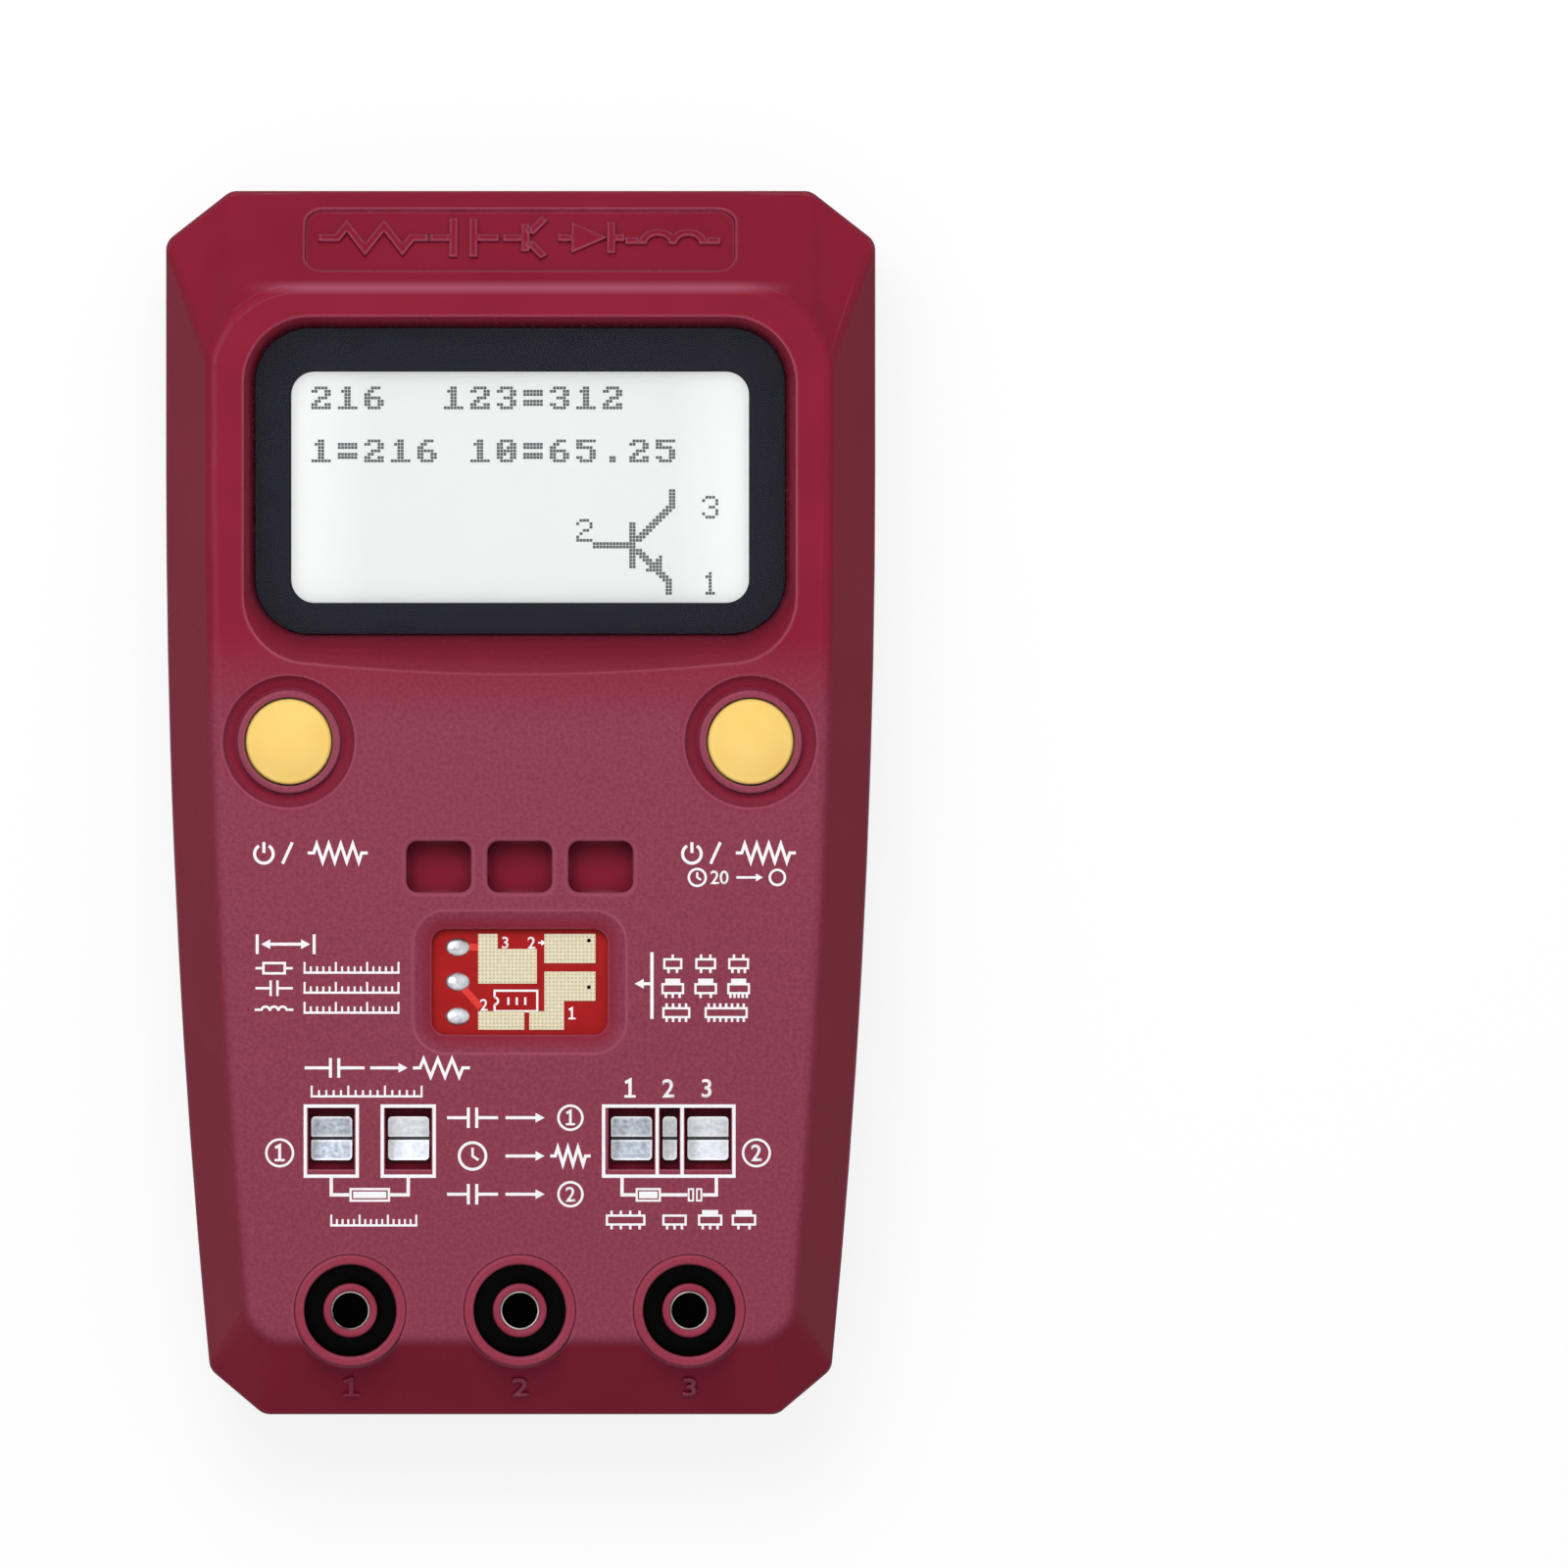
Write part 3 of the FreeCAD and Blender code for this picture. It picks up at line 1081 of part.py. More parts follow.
left_pad = fuse("left_pad", [
    pad_piece("left_pad_field", -s.pad_left, -s.pad_waist, s.pad_inner_left, s.pad_shoulder),
    pad_piece("left_pad_tab", -s.pad_left, s.pad_shoulder, s.pad_tab - s.pad_left, s.pad_top)])
right_pad = fuse("right_pad", [
    pad_piece("right_pad_field", s.pad_inner_right, -s.pad_knee, s.pad_right, s.pad_middle),
    pad_piece("right_pad_leg", s.pad_inner_right, -s.pad_bottom, s.pad_inner_right + s.pad_tab, -s.pad_knee),
    pad_piece("right_pad_toe", s.pad_toe, -s.pad_bottom, s.pad_inner_right + s.pad_tab, -s.pad_low)])
node(group("smd_pad_set", [
    left_pad, right_pad,
    pad_piece("upper_pad", s.pad_inner_right, s.pad_upper, s.pad_right, s.pad_top),
    pad_piece("lower_pad", -s.pad_left, -s.pad_bottom, s.pad_foot, -s.pad_low)]), "smd_pads")

# Spring contacts: one strip bent to a foot on the board, two leaning leaves and a flared mouth.

tip_z = face_z - s.contact_sink
neck_z = tip_z - s.contact_mouth
strip = s.contact_strip
right_outside = [(s.contact_base, board_z), (s.contact_slot + strip, neck_z - strip),
                 (s.contact_flare, tip_z - strip)]
right_inside = [(s.contact_flare, tip_z), (s.contact_slot, neck_z), (s.contact_base - strip, board_z + strip)]
leaf = right_outside + right_inside
clip_profile = leaf + [(-y, z) for y, z in reversed(leaf)]
for name, x, width in ports:
    contact_width = width - 2 * s.contact_side
    clip = new_body(f"{name}_body")
    side = sketch_on(clip, "YZ_Plane", x=port_y, z=x - contact_width / 2)
    pad(clip, draw(side, clip_profile), contact_width)
    round_edges(clip, s.contact_corner, upright)
    node(clip, name)

# Jacks: a moulded socket with a rim, a deep well and an insulating post, held between the cover and the
# board, and a barrel inside the post, soldered to the board by its flange.

jack_top_z = face_z + s.jack_rim_rise
jack_floor_z = flange_z + s.jack_floor
post_top_z = face_z - s.jack_post_drop
barrel_radius = s.jack_bore_radius + s.barrel_wall
barrel_top_z = post_top_z - s.jack_post_cap
barrel_end_z = jack_top_z - s.barrel_depth - s.barrel_bottom
rim_inside = s.jack_rim_radius - s.jack_rim_wall
flange_radius = s.jack_rim_radius + s.jack_flange
sleeve_radius = barrel_radius + s.barrel_gap
mouth_radius = s.jack_bore_radius + s.jack_mouth
edge = s.jack_edge_round
for number, (name, x) in enumerate(jacks, start=1):
    node(turned(f"jack_socket_{number}_body", x, jack_y, [
        (sleeve_radius, flange_z), (flange_radius, flange_z), (flange_radius, socket_seat_z),
        (s.jack_rim_radius, socket_seat_z), (s.jack_rim_radius, jack_top_z - edge, edge),
        (s.jack_rim_radius - edge, jack_top_z), (rim_inside + edge, jack_top_z, edge),
        (rim_inside, jack_top_z - edge), (rim_inside, jack_floor_z), (s.jack_post_radius, jack_floor_z),
        (s.jack_post_radius, post_top_z - edge, edge), (s.jack_post_radius - edge, post_top_z),
        (mouth_radius + edge, post_top_z, edge), (mouth_radius, post_top_z - edge),
        (mouth_radius, barrel_top_z), (sleeve_radius, barrel_top_z)]), f"jack_socket_{number}")
for name, x in jacks:
    barrel = turned(f"{name}_body", x, jack_y, [
        (size(0), barrel_end_z), (barrel_radius, barrel_end_z), (barrel_radius, board_z),
        (barrel_radius + s.barrel_flange, board_z), (barrel_radius + s.barrel_flange, flange_z),
        (barrel_radius, flange_z), (barrel_radius, barrel_top_z), (s.jack_bore_radius, barrel_top_z),
        (s.jack_bore_radius, barrel_end_z + s.barrel_bottom), (size(0), barrel_end_z + s.barrel_bottom)])
    slot = sketch_on(barrel, "XY_Plane", z=barrel_end_z + s.barrel_bottom)
    arm, half_slot = s.jack_bore_radius - s.barrel_wall, s.barrel_cross / 2
    corner = [(half_slot, arm), (half_slot, half_slot), (arm, half_slot)]
    cross = []
    for _ in range(4):
        cross += corner
        corner = [(b, -a) for a, b in corner]
    draw(slot, [(x + a, jack_y + b) for a, b in reversed(cross)])
    pocket(barrel, slot, s.barrel_bottom / 2)
    node(barrel, name)

# Parts on the main board.

chip_y = pad_window_y - small_rise - s.chip_drop - s.chip_width / 2
chip_parts = [block("chip_case", size(0), chip_y, board_z + s.chip_rise, s.chip_width, s.chip_width,
                    s.chip_height)]
lead_run = s.chip_width + 2 * s.chip_lead
for number in range(int(s.chip_leads_a_side.number)):
    step = s.chip_lead_pitch * (number - (s.chip_leads_a_side - 1) / 2)
    chip_parts.append(block(f"chip_lead_across_{number}", size(0), chip_y + step, board_z, lead_run,
                            s.chip_lead_width, s.chip_lead_thickness))
    chip_parts.append(block(f"chip_lead_along_{number}", step, chip_y, board_z, s.chip_lead_width, lead_run,
                            s.chip_lead_thickness))
node(fuse("chip", chip_parts), "microcontroller")

crystal_y = chip_y - s.chip_width / 2 - s.chip_lead - s.crystal_gap - s.crystal_width / 2
node(plate("crystal_body", -s.crystal_length / 2, crystal_y - s.crystal_width / 2, s.crystal_length / 2,
           crystal_y + s.crystal_width / 2, board_z, s.crystal_height, s.crystal_round), "crystal")

regulator_x = -s.side_parts_spread
regulator_y = pad_window_y
tab_y = (s.regulator_length + s.regulator_tab) / 2
regulator_parts = [
    block("regulator_case", regulator_x, regulator_y, board_z, s.regulator_width, s.regulator_length,
          s.regulator_height),
    block("regulator_tab_plate", regulator_x, regulator_y + tab_y, board_z, s.regulator_tab_width,
          s.regulator_tab, s.regulator_tab_thickness)]
for column in (-1, 0, 1):
    regulator_parts.append(block(f"regulator_leg_{column + 2}", regulator_x + s.regulator_leg_pitch * column,
                                 regulator_y - tab_y, board_z, s.regulator_leg_width, s.regulator_tab,
                                 s.regulator_tab_thickness))
node(fuse("regulator_solid", regulator_parts), "regulator")

resistor_x = s.side_parts_spread
resistor_z = board_z + s.resistor_rise + s.resistor_radius
resistor = new_body("discharge_resistor_body")
resistor_half, lead_half = s.resistor_length / 2, s.resistor_length / 2 + s.resistor_reach
cap_run = s.resistor_cap
waist = s.resistor_radius - s.resistor_waist
resistor_right = [(lead_half, size(0)), (lead_half, s.resistor_lead), (resistor_half, s.resistor_lead),
                  (resistor_half, s.resistor_radius), (resistor_half - cap_run, s.resistor_radius),
                  (resistor_half - cap_run, waist)]
resistor_sketch = draw(sketch_on(resistor, "YZ_Plane", x=pad_window_y, y=resistor_z, z=resistor_x), [
    *resistor_right, *[(-y, radius) for y, radius in reversed(resistor_right)]])
resistor_turn = resistor.newObject("PartDesign::Revolution", "resistor_turn")
resistor_turn.Profile = resistor_sketch
resistor_turn.ReferenceAxis = (resistor_sketch, ["H_Axis"])
resistor_turn.Angle = 360
leg_y = lead_half - s.resistor_lead
legs = [rod(f"resistor_leg_{number}", resistor_x, y, board_z, s.resistor_leg, resistor_z - board_z)
        for number, y in enumerate((pad_window_y - leg_y, pad_window_y + leg_y), start=1)]
node(fuse("resistor_solid", [resistor, *legs]), "discharge_resistor")

groove_z = board_z + s.capacitor_groove
capacitor_top_z = board_z + s.capacitor_height
groove_radius = s.capacitor_radius - s.capacitor_groove_depth
node(turned("filter_capacitor_body", -s.side_parts_spread, tray_y, [
    (size(0), board_z), (s.capacitor_radius, board_z),
    (s.capacitor_radius, groove_z - s.capacitor_groove_rise),
    (groove_radius, groove_z), (s.capacitor_radius, groove_z + s.capacitor_groove_rise),
    (s.capacitor_radius, capacitor_top_z - s.capacitor_groove_depth), (groove_radius, capacitor_top_z),
    (size(0), capacitor_top_z)]), "filter_capacitor")

# Block battery with its terminals, the snap on them and the two leads to the board.

battery_left = battery_right - s.battery_length
battery_y = (battery_bottom_y + battery_top_y) / 2
battery = new_body("battery_body")
pad(battery, draw(sketch_on(battery, "YZ_Plane", z=battery_left), [
    (battery_bottom_y, battery_z), (battery_top_y, battery_z), (battery_top_y, battery_z + s.battery_height),
    (battery_bottom_y, battery_z + s.battery_height)]), s.battery_length)
round_edges(battery, s.battery_round,
            lambda edge: edge.BoundBox.XLength > NEAR and edge.BoundBox.YLength < NEAR)
node(battery, "battery")


def terminal(name, y, radius):
    """A round terminal standing out of the battery's right end."""
    body = new_body(name)
    sketch = sketch_on(body, "YZ_Plane", z=battery_right)
    draw_circle(sketch, y, lead_z, radius)
    pad(body, sketch, s.terminal_height)
    return body


stud_y, cup_y = battery_y - s.terminal_pitch / 2, battery_y + s.terminal_pitch / 2
terminals = [terminal("stud", stud_y, s.stud_radius), terminal("cup", cup_y, s.cup_radius)]
node(group("battery_terminal_pair", terminals), "battery_terminals")

snap = new_body("battery_snap_body")
snap_x = battery_right + s.fit_gap
snap_half, snap_rise = s.snap_length / 2, s.snap_width / 2
snap_outline = [(battery_y - snap_half, lead_z - snap_rise), (battery_y + snap_half, lead_z - snap_rise),
                (battery_y + snap_half, lead_z + snap_rise), (battery_y - snap_half, lead_z + snap_rise)]
pad(snap, draw(sketch_on(snap, "YZ_Plane", z=snap_x), snap_outline), s.snap_thickness)
round_edges(snap, s.snap_round, lambda edge: abs(edge.BoundBox.XLength - s.snap_thickness.number) < NEAR)
sockets = sketch_on(snap, "YZ_Plane", z=snap_x)
draw_circle(sockets, stud_y, lead_z, s.stud_radius + s.screw_gap)
draw_circle(sockets, cup_y, lead_z, s.cup_radius + s.screw_gap)
pocket(snap, sockets, s.terminal_height - s.fit_gap + s.screw_gap, upwards=True)
node(snap, "battery_snap")


def lead(name, y_start, x_run, z_run, y_end):
    """A lead from the snap's outside, along the box and up to the board's underside."""
    radius, bend = s.lead_radius.number, s.lead_bend.number
    snap_face = float(snap_x + s.snap_thickness)
    y_start, x_run, z_run, y_end = float(y_start), float(x_run), float(z_run), float(y_end)
    corners = [Vector(snap_face, y_start, z_run), Vector(x_run, y_start, z_run), Vector(x_run, y_end, z_run),
               Vector(x_run, y_end, float(board_under_z))]
    first_bend = corners[1].x - corners[0].x
    edges = []
    start = corners[0]
    for before, corner, after, reach in zip(corners, corners[1:], corners[2:], (first_bend, bend)):
        arriving, leaving = (corner - before).normalize(), (after - corner).normalize()
        entry, leave = corner - arriving * reach, corner + leaving * reach
        centre = entry + leaving * reach
        middle = centre + (arriving - leaving) * (reach * math.sqrt(0.5))
        if (entry - start).Length > NEAR:
            edges.append(Part.LineSegment(start, entry).toShape())
        edges.append(Part.Arc(entry, middle, leave).toShape())
        start = leave
    edges.append(Part.LineSegment(start, corners[-1]).toShape())
    path = Part.Wire(edges)
    section = Part.Wire([Part.Circle(corners[0], across, radius).toShape()])
    return form(f"{name}_form", path.makePipeShell([section], True, False))


node(lead("snap_lead_red", cup_y, lead_x, lead_z, lead_y), "snap_lead_red")
node(lead("snap_lead_black", stud_y, lead_x + s.lead_spread, lead_z - s.lead_spread,
          lead_y + 2 * s.lead_spread), "snap_lead_black")

# Screws: pan heads from below, each set in one node.


def screw(name, x, y, head_z, head_radius, head_height, shank_radius, shank_length):
    return turned(name, x, y, [
        (size(0), head_z + s.screw_slot), (head_radius / 2, head_z), (head_radius, head_z),
        (head_radius, head_z + head_height), (shank_radius, head_z + head_height),
        (shank_radius, head_z + head_height + shank_length), (size(0), head_z + head_height + shank_length)])


case_shank = parting_z + s.case_screw_grip - s.case_screw_recess - s.case_screw_head_height
node(group("case_screw_set", [
    screw(f"case_screw_{number}", x, y, s.case_screw_recess, s.case_screw_head, s.case_screw_head_height,
          s.case_screw_radius, case_shank)
    for number, (x, y) in enumerate(both_sides(case_screw_places), start=1)]), "case_screws")
node(group("board_screw_set", [
    screw(f"board_screw_{number}", x, y, board_under_z - s.board_screw_head_height, s.board_screw_head,
          s.board_screw_head_height, s.board_screw_radius, s.board_screw_length)
    for number, (x, y) in enumerate(both_sides(board_screw_places), start=1)]), "board_screws")

# Every object is checked before any file is written.

doc.recompute()
failed = [obj.Label for obj in doc.Objects if {"Invalid", "Error"} & set(obj.State)]
unsound = [obj.Label for obj in nodes
           if obj.Shape.isNull() or not obj.Shape.isValid() or not obj.Shape.Solids]
if failed or unsound:
    raise RuntimeError(f"failed: {failed}, unsound: {unsound}")
os.makedirs("parts", exist_ok=True)
for obj in nodes:
    obj.Shape.exportStep(f"parts/{obj.Label}.step")
    print(obj.Label, len(obj.Shape.Solids), round(obj.Shape.Volume, 1))
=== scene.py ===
import math
import bmesh
import bpy
from functools import partial
from mathutils import Matrix, Vector


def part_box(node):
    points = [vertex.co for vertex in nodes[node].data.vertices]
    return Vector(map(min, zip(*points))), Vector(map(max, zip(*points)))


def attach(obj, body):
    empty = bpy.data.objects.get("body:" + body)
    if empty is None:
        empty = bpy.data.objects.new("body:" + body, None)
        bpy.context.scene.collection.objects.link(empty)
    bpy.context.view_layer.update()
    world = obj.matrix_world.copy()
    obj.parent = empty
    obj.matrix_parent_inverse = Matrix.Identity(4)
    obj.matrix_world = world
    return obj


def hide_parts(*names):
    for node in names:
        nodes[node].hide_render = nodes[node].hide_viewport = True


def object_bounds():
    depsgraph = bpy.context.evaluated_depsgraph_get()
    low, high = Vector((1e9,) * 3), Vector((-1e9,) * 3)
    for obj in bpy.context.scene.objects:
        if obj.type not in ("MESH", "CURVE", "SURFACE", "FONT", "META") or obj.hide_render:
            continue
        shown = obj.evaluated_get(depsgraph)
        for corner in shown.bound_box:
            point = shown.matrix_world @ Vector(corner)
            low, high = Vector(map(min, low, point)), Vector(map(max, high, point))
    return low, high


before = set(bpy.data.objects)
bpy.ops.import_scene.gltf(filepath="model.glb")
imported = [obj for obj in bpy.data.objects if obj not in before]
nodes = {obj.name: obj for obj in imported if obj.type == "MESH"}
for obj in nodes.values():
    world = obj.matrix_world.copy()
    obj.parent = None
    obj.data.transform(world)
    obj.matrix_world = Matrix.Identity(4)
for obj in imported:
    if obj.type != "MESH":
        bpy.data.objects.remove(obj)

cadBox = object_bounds()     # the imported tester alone
mm = 0.001               # sizes below are in millimetres, meshes are in metres
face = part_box("front_cover")[1].z   # height of the panel


# colours and nodes

noiseSpan = (0.3, 0.7)   # nearly all of a noise field lies between these


def linear(hexColour):   # sRGB hex to the linear colour that shaders take
    parts = [int(hexColour[i:i + 2], 16) / 255 for i in (1, 3, 5)]
    return [p / 12.92 if p <= 0.04045 else ((p + 0.055) / 1.055) ** 2.4 for p in parts] + [1.0]


def addNode(tree, kind, inputs=(), out=0, **settings):   # settings, values and links; gives back one output
    node = tree.nodes.new(kind)
    for name, value in settings.items():
        setattr(node, name, value)
    for name, value in inputs.items() if isinstance(inputs, dict) else enumerate(inputs):
        if isinstance(value, bpy.types.NodeSocket):
            tree.links.new(value, node.inputs[name])
        else:
            node.inputs[name].default_value = value
    return node.outputs[out] if len(node.outputs) else node


def startMaterial(name):   # gives back the material, and addNode for its tree
    material = bpy.data.materials.new(name)
    material.use_nodes = True
    material.node_tree.nodes.clear()
    return material, partial(addNode, material.node_tree)


def endMaterial(add, sockets):
    shader = add("ShaderNodeBsdfPrincipled", sockets)
    add("ShaderNodeOutputMaterial", {"Surface": shader})


def grainedShare(add, look, x, y, z):   # the mould is grained under the display, on the face alone; the same share carries the painted sheen
    below = add("ShaderNodeMapRange", (y, look["panelTop"] * mm, look["panelFull"] * mm))
    level = add("ShaderNodeMapRange", (z, face - look["panelDeep"] * mm, face - look["panelHigh"] * mm))
    if "dish" in look:   # the grain and its painted sheen fade into the dishes round the keys and come back on the collars
        side = add("ShaderNodeMath", (x,), operation="ABSOLUTE")
        spot = add("ShaderNodeCombineXYZ", (side, y))
        reach = add("ShaderNodeVectorMath", (spot, look["keySpot"]), "Value", operation="DISTANCE")
        outward = add("ShaderNodeMapRange", (reach, look["dish"] * mm, look["brim"] * mm))
        inward = add("ShaderNodeMapRange", (reach, look["dish"] * mm, look["collar"] * mm))
        fade = add("ShaderNodeMath", (outward, inward), operation="MAXIMUM")
        inside = add("ShaderNodeMath", (reach, look["brim"] * mm), operation="LESS_THAN")
        level = add("ShaderNodeMath", (level, inside), operation="MAXIMUM")
        level = add("ShaderNodeMath", (level, fade), operation="MULTIPLY")
    return add("ShaderNodeMath", (below, level), operation="MULTIPLY")


def recessShare(add, look, x, y, z):   # share of painted shade: how far down the slope round the lens, inside its rounded outline
    low, high, side, corner = [look[key] * mm for key in ("recessLow", "recessHigh", "recessSide",
                                                          "recessRound")]
    straight = (side - corner, (high - low) / 2 - corner, 0)
    deep = add("ShaderNodeMapRange", (z, face, face - look["footDeep"] * mm, look["footHigh"], 1.0))
    under = add("ShaderNodeMath", (z, face - look["footTop"] * mm), operation="LESS_THAN")
    deep = add("ShaderNodeMath", (deep, under), operation="MULTIPLY")
    spot = add("ShaderNodeCombineXYZ", (x, y))
    spot = add("ShaderNodeVectorMath", (spot, (0, (low + high) / 2, 0)), operation="SUBTRACT")
    spot = add("ShaderNodeVectorMath", (spot,), operation="ABSOLUTE")
    spot = add("ShaderNodeVectorMath", (spot, straight), operation="SUBTRACT")
    spot = add("ShaderNodeVectorMath", (spot, (0, 0, 0)), operation="MAXIMUM")
    reach = add("ShaderNodeVectorMath", (spot,), "Value", operation="LENGTH")
    inside = add("ShaderNodeMath", (reach, corner), operation="LESS_THAN")
    return add("ShaderNodeMath", (deep, inside), operation="MULTIPLY")


def browShare(add, look, x, y, z):   # share of painted highlight: how near to the edge over the display, away from its two ends
    away = add("ShaderNodeMath", (y, look["brow"] * mm), operation="SUBTRACT")
    away = add("ShaderNodeMath", (away,), operation="ABSOLUTE")
    near = add("ShaderNodeMapRange", (away, look["browWide"] * mm, 0.0, 0.0, look["browShare"]))
    upper = add("ShaderNodeMath", (z, face - look["browDeep"] * mm), operation="GREATER_THAN")
    near = add("ShaderNodeMath", (near, upper), operation="MULTIPLY")
    side = add("ShaderNodeMath", (x,), operation="ABSOLUTE")
    along = add("ShaderNodeMapRange", (side, look["browEnd"] * mm, look["browFull"] * mm))
    return add("ShaderNodeMath", (near, along), operation="MULTIPLY")


def finish(name, look, **sockets):
    # clouded colour, fine grain in gloss and relief, edges softened as a mould or a press leaves them;
    # painted sheen, shade and highlights where a look asks for them
    material, add = startMaterial(name)
    place = add("ShaderNodeTexCoord", out="Object")
    x, y, z = add("ShaderNodeSeparateXYZ", (place,)).node.outputs
    layers = []          # shares of further colours, laid over the dark one in this order
    if "light" in look:
        cloud = add("ShaderNodeTexNoise", {"Vector": place, "Scale": 1 / (look["cloud"] * mm), "Detail": 3.0})
        layers.append((add("ShaderNodeMapRange", (cloud, *noiseSpan)), linear(look["light"])))
    if "weave" in look:  # dots where the threads of the glass cloth cross
        cells = add("ShaderNodeTexVoronoi", {"Vector": place, "Scale": 1 / (look["weave"] * mm),
                                             "Randomness": 0.0}, "Distance")
        layers.append((add("ShaderNodeMapRange", (cells, *look["dotSpan"])), linear(look["thread"])))
    grain = add("ShaderNodeTexNoise", {"Vector": place, "Scale": 1 / (look["grain"] * mm), "Detail": 2.0})
    bumps, rough = grain, look["roughness"]
    if "panel" in look:  # painted sheen: the grained panel is drawn paler than the polish, for the light its grain scatters
        panel = grainedShare(add, look, x, y, z)
        rough = add("ShaderNodeMapRange", (panel, 0.0, 1.0, look["roughness"], look["panel"]))
        height = add("ShaderNodeMapRange", (panel, 0.0, 1.0, look["polish"], 1.0))
        bumps = add("ShaderNodeMath", (grain, height), operation="MULTIPLY")
        pits = add("ShaderNodeMapRange", (grain, *noiseSpan))
        paintedSheen = add("ShaderNodeMix", {0: pits, 6: linear(look["pit"]), 7: linear(look["paintedSheen"])}, 2,
                    data_type="RGBA")
        layers.append((panel, paintedSheen))
    uneven = add("ShaderNodeMapRange", (grain, *noiseSpan, -look["spread"], look["spread"]))
    gloss = add("ShaderNodeMath", (uneven, rough), operation="ADD")
    outer = 1.0          # where the painted edge highlight may show
    if "foot" in look:   # painted shade on the slope round the lens, darker towards its foot
        share = recessShare(add, look, x, y, z)
        layers.append((share, linear(look["foot"])))
        outer = add("ShaderNodeMapRange", (share, *look["footEdge"], 1.0, 0.0))
    if "brow" in look:   # painted highlight along the edge over the display
        layers.append((browShare(add, look, x, y, z), linear(look["rim"])))
    if "hollow" in look:   # painted shade in corners and grooves, from ambient occlusion
        room = add("ShaderNodeAmbientOcclusion", {"Distance": look["hollow"] * mm}, "AO", samples=4)
        layers.append((add("ShaderNodeMapRange", (room, *look["shadeSpan"])), linear(look["shade"])))
        free = add("ShaderNodeMapRange", (room, *look["freeSpan"]))
        outer = add("ShaderNodeMath", (free, outer), operation="MULTIPLY")
    corner = add("ShaderNodeBevel", {"Radius": look["edge"] * mm}, samples=4)
    if "rim" in look:    # painted highlight on outer edges
        flat = add("ShaderNodeNewGeometry", out="Normal")
        bend = add("ShaderNodeVectorMath", (corner, flat), "Value", operation="DOT_PRODUCT")
        edge = add("ShaderNodeMapRange", (bend, look["straight"], look["bent"]))
        layers.append((add("ShaderNodeMath", (edge, outer), operation="MULTIPLY"), linear(look["rim"])))
    if "well" in look:   # light hardly reaches down a deep narrow well
        depth = add("ShaderNodeMapRange", (z, face - look["mouth"] * mm, face - look["well"] * mm))
        layers.append((depth, linear(look["deep"])))
    colour = linear(look["dark"])
    for share, over in layers:
        colour = add("ShaderNodeMix", {0: share, 6: colour, 7: over}, 2, data_type="RGBA")
    relief = {"Height": bumps, "Distance": look["relief"] * mm, "Strength": 1.0}
    if "crisp" not in look:
        relief["Normal"] = corner
    normal = add("ShaderNodeBump", relief)
    endMaterial(add, {"Base Color": colour, "Roughness": gloss, "Normal": normal, **sockets})
    return material


def dress(material, *names):   # a finish for nodes of the frame
    for name in names:
        nodes[name].material_slots[0].material = material


# finishes of the case; the mould's grain is drawn coarser than it is, so that it shows

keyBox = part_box("button_cap_right")
absLook = dict(dark="#861d33", light="#8c2138", cloud=11.0, grain=0.42, relief=0.04, roughness=0.24,
               spread=0.04, edge=0.5, rim="#a55468", straight=0.994, bent=0.978, hollow=2.6, shade="#560d1c",
               shadeSpan=(0.65, 0.05), freeSpan=(0.55, 0.8))
panelLook = dict(absLook, pit="#82374a", paintedSheen="#904354", panel=0.5, polish=0.25, panelTop=18.6,
                 panelFull=8.7, panelDeep=1.1, panelHigh=0.1)
frontLook = dict(panelLook, foot="#531522", footDeep=3.0, footHigh=0.22, footTop=0.04, footEdge=(0.2, 0.4),
                 recessSide=33.7, recessLow=14.2, recessHigh=54.7, recessRound=8.0,
                 keySpot=(*((keyBox[0] + keyBox[1]) / 2).xy, 0), dish=6.1, brim=8.2, collar=5.75,
                 brow=57.9, browWide=0.85, browShare=0.9, browDeep=2.0, browEnd=31.0, browFull=24.0)
rearLook = dict(absLook, roughness=0.42)
socketLook = dict(panelLook, pit="#8f3347", paintedSheen="#99394d", edge=0.3, well=2.2, mouth=0.7, deep="#050404")
dull = {"Specular IOR Level": 0.045}   # textured mouldings return little of the light in one direction

frontRed = finish("mouldedAbsFront", frontLook, **dull)   # ABS: satin, fine grain and painted sheen on the panel
dress(frontRed, "front_cover")
caseRed = finish("mouldedAbsRear", rearLook, **dull)      # ABS: the same red, duller all over
dress(caseRed, "rear_cover", "battery_door")
socketRed = finish("mouldedAbsSocket", socketLook, **dull)   # ABS: painted sheen on the rims, painted shade black at the foot of the wells
dress(socketRed, "jack_socket_1", "jack_socket_2", "jack_socket_3")

buttonLook = dict(dark="#f5cc70", light="#f9d57b", cloud=6.0, grain=0.3, relief=0.006, roughness=0.55,
                  spread=0.05, edge=0.2)
buttonYellow = finish("mouldedAbsYellow", buttonLook, **{"Specular IOR Level": 0.2})   # ABS: wide soft shine
dress(buttonYellow, "button_cap_left", "button_cap_right")


# the display

lensLook = dict(tint="#fbfcfc", roughness=0.03, ior=1.16)
lensClear, addToLens = startMaterial("castAcrylicClear")   # cast PMMA, coated against glare: weak shine
endMaterial(addToLens, {"Base Color": linear(lensLook["tint"]), "Roughness": lensLook["roughness"],
                        "IOR": lensLook["ior"], "Transmission Weight": 1.0})
dress(lensClear, "window_lens")

maskLook = dict(dark="#232230", light="#262533", cloud=4.0, grain=0.2, relief=0.004, roughness=0.5,
                spread=0.05, edge=0.1, lift=0.05)
maskBlack = finish("screenInkBlack", maskLook, **{"Specular IOR Level": 0.1})   # printed ink: dull blue-black

displayLook = dict(dark="#dcdcdb", light="#e4e4e3", cloud=5.0, roughness=0.35, glow="#f4f4f4",
                   middle=0.37, ends=0.52, dim=17.0, lit=25.5)


